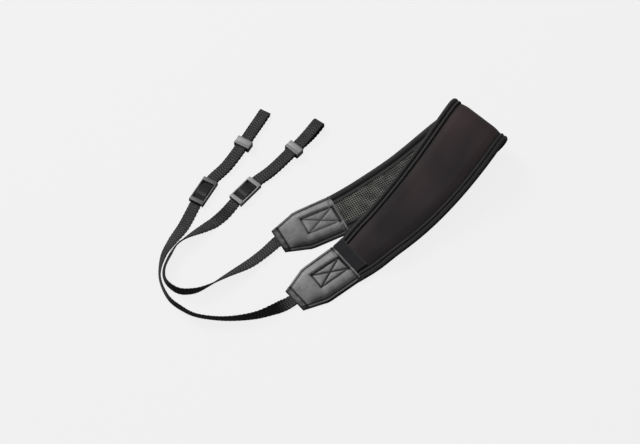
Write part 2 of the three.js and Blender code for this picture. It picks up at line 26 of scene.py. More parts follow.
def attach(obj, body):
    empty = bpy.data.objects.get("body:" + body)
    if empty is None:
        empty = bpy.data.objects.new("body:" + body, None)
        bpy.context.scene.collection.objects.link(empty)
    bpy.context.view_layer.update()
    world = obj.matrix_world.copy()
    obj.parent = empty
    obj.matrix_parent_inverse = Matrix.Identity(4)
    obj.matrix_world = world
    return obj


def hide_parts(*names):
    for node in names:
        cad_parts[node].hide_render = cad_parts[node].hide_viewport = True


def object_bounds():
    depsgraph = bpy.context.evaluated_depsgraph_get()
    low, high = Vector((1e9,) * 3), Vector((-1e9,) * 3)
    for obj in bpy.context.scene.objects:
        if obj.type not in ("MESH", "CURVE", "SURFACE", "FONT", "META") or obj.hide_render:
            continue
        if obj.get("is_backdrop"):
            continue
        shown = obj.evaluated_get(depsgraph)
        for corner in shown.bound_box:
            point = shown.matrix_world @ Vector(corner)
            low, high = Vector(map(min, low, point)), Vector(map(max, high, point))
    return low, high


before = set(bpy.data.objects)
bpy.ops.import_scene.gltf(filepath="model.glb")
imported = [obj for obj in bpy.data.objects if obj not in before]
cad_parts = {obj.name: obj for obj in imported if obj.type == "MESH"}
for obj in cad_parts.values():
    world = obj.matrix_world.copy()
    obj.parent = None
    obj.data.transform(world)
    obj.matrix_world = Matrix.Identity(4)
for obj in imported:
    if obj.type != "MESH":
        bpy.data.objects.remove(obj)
CAD_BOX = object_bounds()

LOG = logging.getLogger("neck_strap")
METRES = 0.001
FLAT = "flat"
# The attribute that holds painted light: painted shade below 0, painted highlights above 0.
PAINTED_LIGHT = "painted_light"
Colour = tuple[float, float, float]


# ------------------------------------------------------------------ shader maths


class Channel:
    """One value that changes over a surface, written in sums like a number."""

    def __init__(self, shade: "Shade", socket: bpy.types.NodeSocket) -> None:
        """Wraps an output socket of one of the shade's nodes."""
        self.shade = shade
        self.socket = socket

    def maths(self, operation: str, *others: Any) -> "Channel":
        """Puts this value and others through one Math node.

        Args:
            operation: the Math node's operation.
            others: the node's further values.

        Returns:
            The result.
        """
        return self.shade.maths(operation, self, *others)

    def __add__(self, other: Any) -> "Channel":
        """This value plus another."""
        return self.maths("ADD", other)

    __radd__ = __add__

    def __sub__(self, other: Any) -> "Channel":
        """This value less another."""
        return self.maths("SUBTRACT", other)

    def __rsub__(self, other: Any) -> "Channel":
        """Another value less this one."""
        return self.shade.maths("SUBTRACT", other, self)

    def __mul__(self, other: Any) -> "Channel":
        """This value times another."""
        return self.maths("MULTIPLY", other)

    __rmul__ = __mul__

    def __abs__(self) -> "Channel":
        """This value without its sign."""
        return self.maths("ABSOLUTE")

    def sine(self) -> "Channel":
        """The sine of this value, in radians."""
        return self.maths("SINE")

    def wave(self, pitch: float) -> "Channel":
        """A sine wave along this value, one turn to each pitch."""
        return (self * (2 * math.pi / pitch)).sine()

    def least(self, other: Any) -> "Channel":
        """The smaller of this value and another."""
        return self.maths("MINIMUM", other)

    def most(self, other: Any) -> "Channel":
        """The larger of this value and another."""
        return self.maths("MAXIMUM", other)

    def step(self, start: float, end: float) -> "Channel":
        """A smooth step from 0 to 1 between two values.

        Args:
            start: where the step is still 0.
            end: where it has reached 1.

        Returns:
            The step.
        """
        node = self.shade.node(
            "ShaderNodeMapRange",
            {"interpolation_type": "SMOOTHSTEP"},
            {"Value": self, "From Min": start, "From Max": end},
        )
        return Channel(self.shade, node.outputs["Result"])


class Shade:
    """The node tree of one material while it is being put together."""

    def __init__(self, name: str) -> None:
        """Starts a material that holds only its output.

        Args:
            name: the material's name.
        """
        self.material = bpy.data.materials.new(name)
        self.material.use_nodes = True
        self.tree = self.material.node_tree
        self.tree.nodes.clear()
        self.flat = self.node("ShaderNodeAttribute", {"attribute_name": FLAT}).outputs["Vector"]

    def node(
        self,
        kind: str,
        settings: Mapping[str, Any] | None = None,
        sockets: Mapping[str | int, Any] | None = None,
    ) -> bpy.types.Node:
        """Adds a node.

        Args:
            kind: the node's type.
            settings: its settings, which are set first.
            sockets: a value or a link for each input socket that needs one.

        Returns:
            The node.
        """
        node = self.tree.nodes.new(kind)
        for key, value in (settings or {}).items():
            setattr(node, key, value)
        for key, value in (sockets or {}).items():
            self.feed(node.inputs[key], value)
        return node

    def feed(self, socket: bpy.types.NodeSocket, value: Any) -> None:
        """Gives a socket a value, or a link to another node's output.

        Args:
            socket: the input socket.
            value: a Channel, an output socket, a number or a colour.
        """
        if isinstance(value, Channel):
            self.tree.links.new(value.socket, socket)
        elif isinstance(value, bpy.types.NodeSocket):
            self.tree.links.new(value, socket)
        elif socket.type == "RGBA":
            socket.default_value = (*value, 1.0)
        else:
            socket.default_value = value

    def maths(self, operation: str, *terms: Any) -> Channel:
        """Adds a Math node.

        Args:
            operation: its operation.
            terms: its values, in order.

        Returns:
            The result.
        """
        node = self.node("ShaderNodeMath", {"operation": operation}, dict(enumerate(terms)))
        return Channel(self, node.outputs[0])

    def axes(self) -> tuple[Channel, Channel, Channel]:
        """The flat place's three numbers, in millimetres: along, across and off the face."""
        node = self.node("ShaderNodeSeparateXYZ", None, {0: self.flat})
        along, across, off = (Channel(self, output) for output in node.outputs)
        return along, across, off

    def painted_light(self) -> tuple[Channel, Channel]:
        """The painted highlight on a high spot and the painted shade in a groove, each 0 to 1."""
        node = self.node("ShaderNodeAttribute", {"attribute_name": PAINTED_LIGHT})
        painted_light = Channel(self, node.outputs["Fac"])
        # The positive part gives the painted highlight, the negative part the painted shade.
        return painted_light.most(0.0), (painted_light * -1).most(0.0)

    def noise(
        self, grain: float, detail: float = 2.0, stretch: Colour = (1.0, 1.0, 1.0)
    ) -> Channel:
        """A cloudy pattern around one half.

        Args:
            grain: the size of its clouds, in millimetres.
            detail: how much finer detail it has.
            stretch: how much longer the clouds are along each flat axis.

        Returns:
            The pattern.
        """
        scale = tuple(1.0 / (grain * share) for share in stretch)
        place = self.node(
            "ShaderNodeVectorMath", {"operation": "MULTIPLY"}, {0: self.flat, 1: scale}
        )
        sockets = {"Vector": place.outputs[0], "Scale": 1.0, "Detail": detail}
        node = self.node("ShaderNodeTexNoise", None, sockets)
        return Channel(self, node.outputs[0])

    def cells(self, grain: float, feature: str = "F1") -> Channel:
        """Distances to scattered points, as in the grain of leather.

        Args:
            grain: the distance between the points, in millimetres.
            feature: which distance the pattern gives.

        Returns:
            The pattern.
        """
        sockets = {"Vector": self.flat, "Scale": 1.0 / grain}
        node = self.node("ShaderNodeTexVoronoi", {"feature": feature}, sockets)
        return Channel(self, node.outputs["Distance"])

    def blend(self, share: Any, low: Any, high: Any) -> bpy.types.NodeSocket:
        """Mixes two colours.

        Args:
            share: 0 for the first colour, 1 for the second.
            low: the first colour.
            high: the second colour.

        Returns:
            The mixed colour.
        """
        node = self.node("ShaderNodeMix", {"data_type": "RGBA"})
        self.feed(node.inputs[0], share)
        self.feed(node.inputs[6], low)
        self.feed(node.inputs[7], high)
        return node.outputs[2]

    def finish(
        self,
        colour: Any,
        roughness: Any,
        relief: Channel | None,
        depth: float,
        constants: Mapping[str, Any] | None = None,
    ) -> bpy.types.Material:
        """Closes the material with its surface.

        Args:
            colour: the base colour.
            roughness: the roughness.
            relief: the height of the surface's pattern, from 0 to 1, or nothing if it has none.
            depth: how deep the relief is, in millimetres.
            constants: further sockets that are the same all over.

        Returns:
            The material.
        """
        sockets = {"Base Color": colour, "Roughness": roughness, **(constants or {})}
        if relief is not None:
            bump = self.node(
                "ShaderNodeBump", None, {"Distance": depth * METRES, "Height": relief}
            )
            sockets["Normal"] = bump.outputs[0]
        surface = self.node("ShaderNodeBsdfPrincipled", None, sockets)
        output = self.node("ShaderNodeOutputMaterial")
        self.tree.links.new(surface.outputs[0], output.inputs["Surface"])
        return self.material


# ------------------------------------------------------------------ finishes


@dataclass(frozen=True)
class PadCloth:
    """Smooth tight cloth over the foam, brownish black with a soft sheen."""

    dark: Colour = (0.0105, 0.0077, 0.0087)
    light: Colour = (0.0400, 0.0255, 0.0268)
    # The colour of the painted shade where the cloth goes in under the tape.
    black: Colour = (0.0030, 0.0026, 0.0028)
    thread: float = 0.55
    slant: float = 0.7
    cloud_size: float = 30.0
    slub_size: float = 1.4
    band: float = 58.0
    band_reach: float = 62.0
    relief_depth: float = 0.05

    def material(self) -> bpy.types.Material:
        """The cloth's material: its middle is a little darker and less brown than its ends."""
        shade = Shade("pad_cloth")
        along, across, _ = shade.axes()
        _, sunk = shade.painted_light()
        turn = 2 * math.pi / self.thread
        lines = (along + across, along - across)
        right, left = ((line * turn * self.slant).sine() for line in lines)
        weave = right * left
        cloud = shade.noise(self.cloud_size, 1.5, (1.6, 1.0, 1.0))
        slub = shade.noise(self.slub_size, 3.0, (2.0, 1.0, 1.0))
        ends = (self.band - along).step(0.1 * self.band_reach, self.band_reach)
        share = ends * 0.55 + (cloud - 0.5) * 1.5 + slub * 0.3 + weave * 0.05
        relief = weave * 0.3 + slub * 0.5 + 0.25
        # Painted shade: black where the cloth goes in under the tape.
        colour = shade.blend(sunk, shade.blend(share, self.dark, self.light), self.black)
        gloss = {"Sheen Weight": 0.06, "Sheen Roughness": 0.5, "Specular IOR Level": 0.22}
        return shade.finish(colour, 0.64 + slub * 0.16, relief, self.relief_depth, gloss)


@dataclass(frozen=True)
class AirMesh:
    """Grey knitted air mesh: cords cross in knots with painted highlights round holes of painted
    shade.
    """

    dark: Colour = (0.020, 0.021, 0.018)
    cord: Colour = (0.060, 0.062, 0.054)
    # The colour of the painted highlight on the knots.
    knot: Colour = (0.290, 0.297, 0.266)
    ply: float = 0.42
    cloud_size: float = 9.0
    tuft_size: float = 0.8
    relief_depth: float = 0.08

    def material(self) -> bpy.types.Material:
        """The knitted cords' material."""
        shade = Shade("air_mesh")
        along, across, _ = shade.axes()
        painted_highlight, sunk = shade.painted_light()
        ply = (along + across * 0.6).wave(self.ply)
        cloud = shade.noise(self.cloud_size, 3.0)
        tuft = shade.noise(self.tuft_size, 2.0)
        cord = shade.blend(cloud.step(0.3, 0.7), self.dark, self.cord)
        # Painted shade: the cords go dark down in the holes.
        cord = shade.blend(sunk, cord, self.dark)
        # Painted highlight on the knots.
        knots = painted_highlight * (0.35 + cloud.step(0.35, 0.65) * 0.75) * (0.7 + tuft * 0.6)
        relief = ply * 0.35 + tuft * 0.5 + 0.2
        colour = shade.blend(knots.least(1.0), cord, self.knot)
        return shade.finish(colour, 0.8, relief, self.relief_depth, {"Sheen Weight": 0.15})


@dataclass(frozen=True)
class LiningBack:
    """The dark cloth that shows through the holes of the mesh."""

    colour: Colour = (0.0035, 0.0035, 0.0033)
    fuzz_size: float = 0.6
    fuzz_gain: float = 2.4
    relief_depth: float = 0.1

    def material(self) -> bpy.types.Material:
        """The backing's material."""
        shade = Shade("lining_back")
        fuzz = shade.noise(self.fuzz_size, 3.0)
        pale = tuple(self.fuzz_gain * part for part in self.colour)
        colour = shade.blend(fuzz, self.colour, pale)
        return shade.finish(colour, 0.9, fuzz, self.relief_depth, {"Specular IOR Level": 0.2})


@dataclass(frozen=True)
class BindingWeave:
    """Matt black tape with a fine cross rib: painted highlights on its outer roll and beside its
    seam.
    """

    dark: Colour = (0.0065, 0.0065, 0.0063)
    ground: Colour = (0.0130, 0.0128, 0.0124)
    # The colour of the painted highlight on the rolls.
    painted_highlight: Colour = (0.0480, 0.0425, 0.0425)
    # The colour of the painted shade in the seam and under the inner edge.
    black: Colour = (0.0013, 0.0013, 0.0013)
    rib: float = 0.85
    fuzz_size: float = 1.1
    cloud_size: float = 14.0
    relief_depth: float = 0.09

    def material(self) -> bpy.types.Material:
        """The tape's material."""
        shade = Shade("binding_tape")
        along, _, _ = shade.axes()
        painted_highlight, sunk = shade.painted_light()
        rib = along.wave(self.rib)
        fuzz = shade.noise(self.fuzz_size, 3.0, (0.7, 2.0, 1.0))
        cloud = shade.noise(self.cloud_size, 2.0)
        share = cloud.step(0.3, 0.75) * 0.45 + fuzz * 0.5 + rib * 0.12
        # Painted highlight on the rolls.
        highlight_share = painted_highlight * (0.35 + cloud * 0.6 + (fuzz - 0.5) * 1.2)
        relief = rib * 0.3 + fuzz * 0.5 + 0.3
        cloth = shade.blend(highlight_share, shade.blend(share, self.dark, self.ground), self.painted_highlight)
        gloss = {"Sheen Weight": 0.08, "Specular IOR Level": 0.25}
        # Painted shade: black in the seam and under the inner edge.
        colour = shade.blend(sunk, cloth, self.black)
        return shade.finish(colour, 0.7 + fuzz * 0.15, relief, self.relief_depth, gloss)


@dataclass(frozen=True)
class LabelWeave:
    """Fine blue-black satin weave with a faintly paler woven border."""

    ground: Colour = (0.0042, 0.0046, 0.0060)
    border: Colour = (0.028, 0.028, 0.030)
    border_at: float = 152.3
    weft: float = 0.34
    warp: float = 0.42
    fuzz_size: float = 0.8
    cloud_size: float = 6.0
    relief_depth: float = 0.06

    def material(self) -> bpy.types.Material:
        """The label's material."""
        shade = Shade("label_weave")
        along, across, _ = shade.axes()
        weft = along.wave(self.weft)
        warp = (across * (2 * math.pi / self.warp) + weft * 0.6).sine()
        fuzz = shade.noise(self.fuzz_size, 3.0)
        cloud = shade.noise(self.cloud_size, 2.0)
        line = 1 - abs(along - self.border_at).step(0.25, 0.7)
        share = line * (0.35 + cloud * 0.7) + fuzz * 0.3 + warp * 0.04
        relief = weft * 0.25 + warp * 0.15 + line * 0.3 + 0.3
        colour = shade.blend(share, self.ground, self.border)
        gloss = {"Sheen Weight": 0.03, "Specular IOR Level": 0.22}
        return shade.finish(colour, 0.62 + fuzz * 0.15, relief, self.relief_depth, gloss)


@dataclass(frozen=True)
class PatchLeather:
    """Mid grey leather with a fine pebble, painted shade in its seams and on its cut sides."""

    deep: Colour = (0.080, 0.080, 0.080)
    full: Colour = (0.330, 0.330, 0.330)
    # The colour of the painted shade in the seams and on the cut sides.
    black: Colour = (0.006, 0.006, 0.006)
    pebble: float = 0.75
    crease: float = 2.3
    cloud_size: float = 9.0
    speck_size: float = 0.6
    relief_depth: float = 0.07

    def material(self) -> bpy.types.Material:
        """The leather's material."""
        shade = Shade("patch_leather")
        painted_highlight, sunk = shade.painted_light()
        pebble = shade.cells(self.pebble)
        creases = shade.cells(self.pebble * self.crease, "DISTANCE_TO_EDGE").step(0.0, 0.14)
        cloud = shade.noise(self.cloud_size, 3.0)
        speck = shade.noise(self.speck_size, 3.0)
        # Painted highlights on the ridges lighten the leather.
        share = 0.34 + (cloud - 0.5) * 0.9 + (speck - 0.5) * 0.7 - pebble * 0.12 + painted_highlight * 0.45
        relief = (1 - pebble) * 0.45 + creases * 0.25 + speck * 0.3
        # Painted shade: black in the seams and on the cut sides.
        colour = shade.blend(sunk, shade.blend(share, self.deep, self.full), self.black)
        gloss = {"Specular IOR Level": 0.35}
        return shade.finish(colour, 0.5 + speck * 0.2, relief, self.relief_depth, gloss)


@dataclass(frozen=True)
class WebbingWeave:
    """Black webbing: painted highlights on its raised ribs, painted shade in the gaps between them.
    """

    # The colour of the painted shade in the gaps and on the edges.
    black: Colour = (0.0016, 0.0016, 0.0016)
    ground: Colour = (0.0070, 0.0070, 0.0069)
    # The colour of the painted highlight on the ribs.
    high: Colour = (0.0980, 0.0980, 0.0960)
    yarn: float = 0.8
    fuzz_size: float = 0.8
    cloud_size: float = 12.0
    relief_depth: float = 0.12

    def material(self) -> bpy.types.Material:
        """The webbing's material."""
        shade = Shade("webbing")
        along, across, _ = shade.axes()
        painted_highlight, sunk = shade.painted_light()
        yarn = (along + across).wave(self.yarn)
        fuzz = shade.noise(self.fuzz_size, 3.0)
        cloud = shade.noise(self.cloud_size, 2.0)
        # Painted highlight on the rib tops.
        tops = painted_highlight * (0.25 + cloud * 0.7 + (fuzz - 0.5) * 1.4)
        relief = 0.4 + yarn * 0.2 + (fuzz - 0.5) * 0.6
        high = shade.blend(tops + yarn * 0.05, self.ground, self.high)
        # Painted shade: black in the gaps and on the edges, mixed with fuzz.
        colour = shade.blend(sunk + (0.5 - fuzz) * 0.3, high, self.black)
        gloss = {"Sheen Weight": 0.1, "Specular IOR Level": 0.25}
        return shade.finish(colour, 0.55 + fuzz * 0.2, relief, self.relief_depth, gloss)


@dataclass(frozen=True)
class MouldedPlastic:
    """Grey moulded plastic with a faint texture, painted shade in its grooves and painted
    highlights on top.
    """

    name: str
    colour: Colour
    tones: Colour = (0.7, 1.25, 0.08)
    speck_size: float = 0.35
    flow_size: float = 5.0
    relief_depth: float = 0.03

    def material(self) -> bpy.types.Material:
        """The plastic's material: its tones are the low, the high and the black one's shares."""
        shade = Shade(self.name)
        painted_highlight, sunk = shade.painted_light()
        speck = shade.noise(self.speck_size, 2.0)
        flow = shade.noise(self.flow_size, 2.0, (1.0, 2.5, 1.0))
        low, high, black = (tuple(tone * part for part in self.colour) for tone in self.tones)
        # Painted highlights lighten the plastic's tops.
        share = flow * 0.8 + speck * 0.2 + painted_highlight * 0.5
        # Painted shade: black in the grooves, on the rails and low on the sides.
        colour = shade.blend(sunk, shade.blend(share, low, high), black)
        return shade.finish(colour, 0.36 + speck * 0.16, speck, self.relief_depth)


@dataclass(frozen=True)
class SewingThread:
    """Twisted polyester thread."""

    name: str
    colour: Colour
    twist: float = 0.45
    high_gain: float = 2.2
    relief_depth: float = 0.06

    def material(self) -> bpy.types.Material:
        """The thread's material."""
        shade = Shade(self.name)
        along, across, off = shade.axes()
        twist = (along + across + off).wave(self.twist) * 0.5 + 0.5
        high = tuple(self.high_gain * part for part in self.colour)
        colour = shade.blend(twist * 0.8, self.colour, high)
        gloss = {"Sheen Weight": 0.05, "Specular IOR Level": 0.3}
        return shade.finish(colour, 0.6 + twist * 0.15, twist, self.relief_depth, gloss)


@dataclass(frozen=True)
class TableTop:
    """The plain pale table, lit from below like a light table, so that it takes no hard shadow."""

    colour: Colour = (0.05, 0.05, 0.05)
    glow: float = 0.83

    def material(self) -> bpy.types.Material:
        """The table's material."""
        shade = Shade("table_top")
        light = {"Emission Color": (1.0, 1.0, 1.0), "Emission Strength": self.glow}
        return shade.finish(self.colour, 0.9, None, 0.0, {"Specular IOR Level": 0.0, **light})


class Finish(Enum):
    """The finishes, each with the record's slot that it belongs to."""

    PAD_CLOTH = ("pad_cloth", PadCloth())
    AIR_MESH = ("lining_mesh", AirMesh())
    LINING_BACK = ("lining_mesh", LiningBack())
    BINDING = ("binding_tape", BindingWeave())
    BINDING_THREAD = ("binding_tape", SewingThread("binding_thread", (0.003, 0.003, 0.003)))
    LABEL = ("label_weave", LabelWeave())
    LEATHER = ("patch_leather", PatchLeather())
    PATCH_THREAD = ("patch_leather", SewingThread("patch_thread", (0.006, 0.006, 0.006)))
    WEBBING = ("webbing", WebbingWeave())
    GREY_PLASTIC = ("fitting_plastic", MouldedPlastic("grey_plastic", (0.092, 0.092, 0.092)))
    PALE_PLASTIC = ("fitting_plastic", MouldedPlastic("pale_plastic", (0.26, 0.26, 0.26)))

    @property
    def slot(self) -> str:
        """The record's material slot."""
        return self.value[0]

    @property
    def material(self) -> bpy.types.Material:
        """The finish's material, made the first time that it is asked for."""
        maker = self.value[1]
        name = getattr(maker, "name", None) or type(maker).__name__
        if name not in _MADE:
            _MADE[name] = maker.material()
        return _MADE[name]


_MADE: dict[str, bpy.types.Material] = {}


# ------------------------------------------------------------------ steps and humps


def eased(share: Any) -> Any:
    """Eases a share that goes from 0 to 1, so that it starts and ends slowly."""
    return share * share * (3 - 2 * share)


def soft_step(value: float, start: float, end: float) -> float:
    """A smooth step from 0 to 1 as a value goes from start to end."""
    return eased(min(1.0, max(0.0, (value - start) / (end - start))))


def bump(distance: float, reach: float) -> float:
    """A smooth hump: 1 at no distance, and almost 0 at twice the reach."""
    return math.exp(-((distance / reach) ** 2))


# ------------------------------------------------------------------ laying pieces in place


class Lay(Protocol):
    """A rule that takes flat places to places on the table."""

    def place(self, flat: np.ndarray) -> np.ndarray:
        """Moves rows of flat places, in millimetres, to the table's frame."""


def smooth_line(rows: Sequence[Sequence[float]], steps: int, power: float) -> np.ndarray:
    """A smooth line through rows of numbers.

    Args:
        rows: the points, each with the same count of numbers.
        steps: how many parts each span is divided into.
        power: 0 for even spans, 0.5 for spans that count by the root of their length.

    Returns:
        The points of the line.
    """
    knots = np.array(rows, dtype=float)
    knots = np.vstack([2 * knots[0] - knots[1], knots, 2 * knots[-1] - knots[-2]])
    spans = np.linalg.norm(np.diff(knots, axis=0), axis=1) ** power
    line = []
    for span in range(1, len(knots) - 2):
        before, here, after = spans[span - 1 : span + 2]
        a, b, c, d = knots[span - 1 : span + 3]
        leave = ((b - a) / before - (c - a) / (before + here) + (c - b) / here) * here
        arrive = ((c - b) / here - (d - b) / (here + after) + (d - c) / after) * here
        t = np.linspace(0, 1, steps, endpoint=False)[:, None]
        bend = (2 * b - 2 * c + leave + arrive) * t**3
        line.append(bend + (3 * c - 3 * b - 2 * leave - arrive) * t**2 + leave * t + b)
    return np.vstack([*line, knots[-2:-1]])


def run_lengths(points: np.ndarray) -> np.ndarray:
    """The distance of each point from the first, along the line."""
    steps = np.linalg.norm(np.diff(points, axis=0), axis=1)
    return np.concatenate([[0.0], np.cumsum(steps)])


def read_line(at: np.ndarray, lengths: np.ndarray, values: np.ndarray) -> np.ndarray:
    """Reads rows of values at distances along a line."""
    return np.stack([np.interp(at, lengths, column) for column in values.T], axis=-1)


@dataclass
class FoldedPad:
    """The pad's flat arc and the way it is folded over on the table."""

    thickness: float = 5.0
    pattern_radius: float = 525.0
    front_length: float = 163.0
    back_length: float = 173.5
    widest: float = -2.0
    sway: float = 0.9
    fold_middle: tuple[float, float] = (117.7, 69.4)
    bearing: float = math.radians(51)
    heading: float = math.radians(5.4)
    fold_radius: float = 12.0
    lift: float = 6.5
    lift_span: tuple[float, float] = (8.0, 64.0)
    crest: float = 2.6
    lean: float = 0.09
    crest_reach: float = 40.0
    squeeze: float = 0.9
    taper: float = 0.004
    slope_end: float = 126.0
    slope_height: float = 8.4
    landing: float = 154.0
    back_run: float = 190.0
    widths: tuple[tuple[float, float], ...] = (
        (0, 58.4), (45, 57.6), (90, 53.6), (130, 46.6), (155, 41.4), (175, 38.6),
    )
    path: np.ndarray = field(init=False)
    lengths: np.ndarray = field(init=False)

    def __post_init__(self) -> None:
        """Draws the line that the pad's middle follows, seen along the fold."""
        low = self.thickness / 2
        top = low + 2 * self.fold_radius
        end, height, landing = self.slope_end, self.slope_height, self.landing
        turn = np.radians(np.linspace(-90, 90, 181))
        over = np.stack([-np.cos(turn), 1 + np.sin(turn)], axis=-1) * self.fold_radius + (0, low)
        slope = self._sweep((0, top), (30, top), (end - 40, height + 2), (end, height))
        leave, arrive = (end + 14, height - 1.1), (landing - 12, low)
        step = self._sweep((end, height), leave, arrive, (landing, low))
        back = np.stack([np.linspace(self.back_run, 0, 191), np.full(191, low)], axis=-1)
        tail = np.array([[landing + 40, low]])
        self.path = np.vstack([back[:-1], over[:-1], slope[:-1], step, tail])
        self.lengths = run_lengths(self.path)

    @staticmethod
    def _sweep(*corners: tuple[float, float]) -> np.ndarray:
        """A cubic curve with four corners, as a line of points."""
        t = np.linspace(0, 1, 121)[:, None]
        weights = ((1 - t) ** 3, 3 * t * (1 - t) ** 2, 3 * t**2 * (1 - t), t**3)
        return sum(weight * np.array(corner, float) for weight, corner in zip(weights, corners))

    def half_width(self, along: float) -> float:
        """Half of the neck piece's width at a place along it."""
        rows = self.widths
        away = min(abs(along - self.widest), rows[-1][0])
        slopes = [0.0]
        for before, after in zip(rows, rows[2:]):
            slopes.append((after[1] - before[1]) / (after[0] - before[0]))
        slopes.append(0.0)
        spot = max(1, next(i for i, row in enumerate(rows) if row[0] >= away))
        (low, start), (high, end) = rows[spot - 1], rows[spot]
        span = high - low
        t = (away - low) / span
        leave = t * (1 - t) ** 2 * span * slopes[spot - 1]
        arrive = t**2 * (1 - t) * span * slopes[spot]
        return (start + (end - start) * eased(t) + leave - arrive) / 2

    def sway_at(self, along: np.ndarray | float) -> np.ndarray | float:
        """How far to the right of the centre line the front run has crept."""
        return self.sway * eased(np.clip(along / self.front_length, 0, 1))

    def settled(self, at: np.ndarray, beside: np.ndarray) -> np.ndarray:
        """The pad's middle once the fold has settled.

        The back run lifts towards the fold, and the bend is taller at its left end.

        Args:
            at: lengths along the line that the pad's middle follows.
            beside: how far each point is to the right of that line.

        Returns:
            Rows of (away from the fold, height).
        """
        away, height = read_line(at, self.lengths, self.path).T
        turned = np.clip((at - self.back_run) / (math.pi * self.fold_radius), 0, 1)
        upper = (1 - np.cos(math.pi * turned)) / 2
        start, end = self.lift_span
        settled = eased(np.clip((away - start) / (end - start), 0, 1))
        height = height + self.lift * (1 - upper) * (1 - settled)
        by_fold = np.exp(-((np.maximum(away, 0) / self.crest_reach) ** 2))
        height += (self.crest - self.lean * beside) * upper * by_fold
        bend = self.squeeze * (1 - self.taper * beside)
        return np.stack([np.where(away < 0, away * bend, away), height], axis=-1)

    def place(self, flat: np.ndarray) -> np.ndarray:
        """Folds rows of (along, across, off) over on the table."""
        along, across, off = np.asarray(flat, float).T
        centre = self.pattern_radius
        heading = self.heading - along / centre
        radius = centre + across + self.sway_at(along)
        past = centre * math.sin(self.heading) - radius * np.sin(heading)
        beside = radius * np.cos(heading) - centre * math.cos(self.heading)
        at = self.back_run + math.pi * self.fold_radius + past
        middle = self.settled(at, beside)
        ahead, behind = self.settled(at + 0.2, beside), self.settled(at - 0.2, beside)
        tangent = (ahead - behind) / np.linalg.norm(ahead - behind, axis=1)[:, None]
        away = middle[:, 0] - tangent[:, 1] * off
        cos, sin = math.cos(self.bearing), math.sin(self.bearing)
        x = self.fold_middle[0] - away * cos + beside * sin
        y = self.fold_middle[1] - away * sin - beside * cos
        return np.stack([x, y, middle[:, 1] + tangent[:, 0] * off], axis=-1)


@dataclass(frozen=True)
class FlatPose:
    """A stiff piece's place: turned about the upright and set down."""

    x: float
    y: float
    bearing: float

    def place(self, flat: np.ndarray) -> np.ndarray:
        """Turns and moves rows of (along, across, up)."""
        along, across, up = np.asarray(flat, float).T
        cos, sin = math.cos(self.bearing), math.sin(self.bearing)
        x = self.x + along * cos - across * sin
        y = self.y + along * sin + across * cos
        return np.stack([x, y, up], axis=-1)


@dataclass
class StrapRoute:
    """The way one strap lies, as its middle line with its two directions at each point."""

    middle: np.ndarray
    across: np.ndarray
    off: np.ndarray
    lengths: np.ndarray = field(init=False)

    def __post_init__(self) -> None:
        """Measures the line."""
        self.lengths = run_lengths(self.middle)

    @property
    def length(self) -> float:
        """The strap's length, in millimetres."""
        return float(self.lengths[-1])

    def place(self, flat: np.ndarray) -> np.ndarray:
        """Bends rows of (along, across, off) to the strap's route."""
        along, across, off = np.asarray(flat, float).T
        middle = read_line(along, self.lengths, self.middle)
        sideways = read_line(along, self.lengths, self.across)
        upwards = read_line(along, self.lengths, self.off)
        sideways /= np.linalg.norm(sideways, axis=1)[:, None]
        upwards /= np.linalg.norm(upwards, axis=1)[:, None]
        return middle + sideways * across[:, None] + upwards * off[:, None]


# ------------------------------------------------------------------ making pieces


def as_mesh(name: str, shape: bmesh.types.BMesh) -> bpy.types.Mesh:
    """Ends a shape as a mesh of its own."""
    mesh = bpy.data.meshes.new(name)
    shape.to_mesh(mesh)
    shape.free()
    return mesh


def in_scene(name: str, data: Any) -> bpy.types.Object:
    """Adds an object that holds a mesh, a light or a camera."""
    holder = bpy.data.objects.new(name, data)
    bpy.context.scene.collection.objects.link(holder)
    return holder


def lay_piece(
    name: str,
    shape: bmesh.types.BMesh,
    lay: Lay,
    finish: Finish,
    stands_for: Sequence[str] = (),
    crease: float = 50.0,
    painted_light: Callable[[float, float, float], float] | None = None,
) -> bpy.types.Object:
    """Lays a flat shape in place and makes it a finished piece.

    Args:
        name: the piece's name.
        shape: the shape as it is cut, in millimetres; it is freed.
        lay: where it goes.
        finish: its finish.
        stands_for: the CAD nodes that it replaces.
        crease: edges turned by more than this many degrees stay sharp.
        painted_light: gives the painted light, from -1 for painted shade to 1 for a highlight, at a
            flat place.

    Returns:
        The piece.
    """
    flat = np.array([vert.co for vert in shape.verts])
    kept = shape.verts.layers.float_vector.new(FLAT)
    # The attribute holds painted light: painted shade in grooves, painted highlights on high spots.
    light_paint = shape.verts.layers.float.new(PAINTED_LIGHT)
    for vert, cut, spot in zip(shape.verts, flat, lay.place(flat)):
        vert[kept] = cut
        vert[light_paint] = painted_light(*cut) if painted_light else 0.0
        vert.co = spot * METRES
    # A known fault: the operator goes by the normals that the faces held before the move, so
    # the two leathers, the label and many stitches come out with their faces pointing inwards.
    bmesh.ops.recalc_face_normals(shape, faces=shape.faces)
    shape.normal_update()
    for face in shape.faces:
        face.smooth = True
    limit = math.radians(crease)
    for edge in shape.edges:
        edge.smooth = len(edge.link_faces) != 2 or edge.calc_face_angle(0.0) < limit
    piece = in_scene(name, as_mesh(name, shape))
    piece.data.materials.append(finish.material)
    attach(piece, "root")
    finish.slot
    if stands_for:
        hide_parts(*stands_for)
    LOG.info("%s: %d faces", name, len(piece.data.polygons))
    return piece


def spread(
    shape: bmesh.types.BMesh,
    lengthwise: Sequence[float],
    crosswise: int,
    settle: Callable[[float, float], tuple[float, float, float]],
) -> None:
    """Adds a grid and settles its points.

    Args:
        shape: the shape to add to.
        lengthwise: the grid's places along the piece.
        crosswise: how many faces it has the other way.
        settle: gives a point's place from its place along and its share across, 0 to 1.
    """
    count = len(lengthwise) - 1
    made = bmesh.ops.create_grid(shape, x_segments=count, y_segments=crosswise, size=0.5)["verts"]
    for vert in made:
        row = round((vert.co.x + 0.5) * count)
        vert.co = Vector(settle(lengthwise[row], vert.co.y + 0.5))


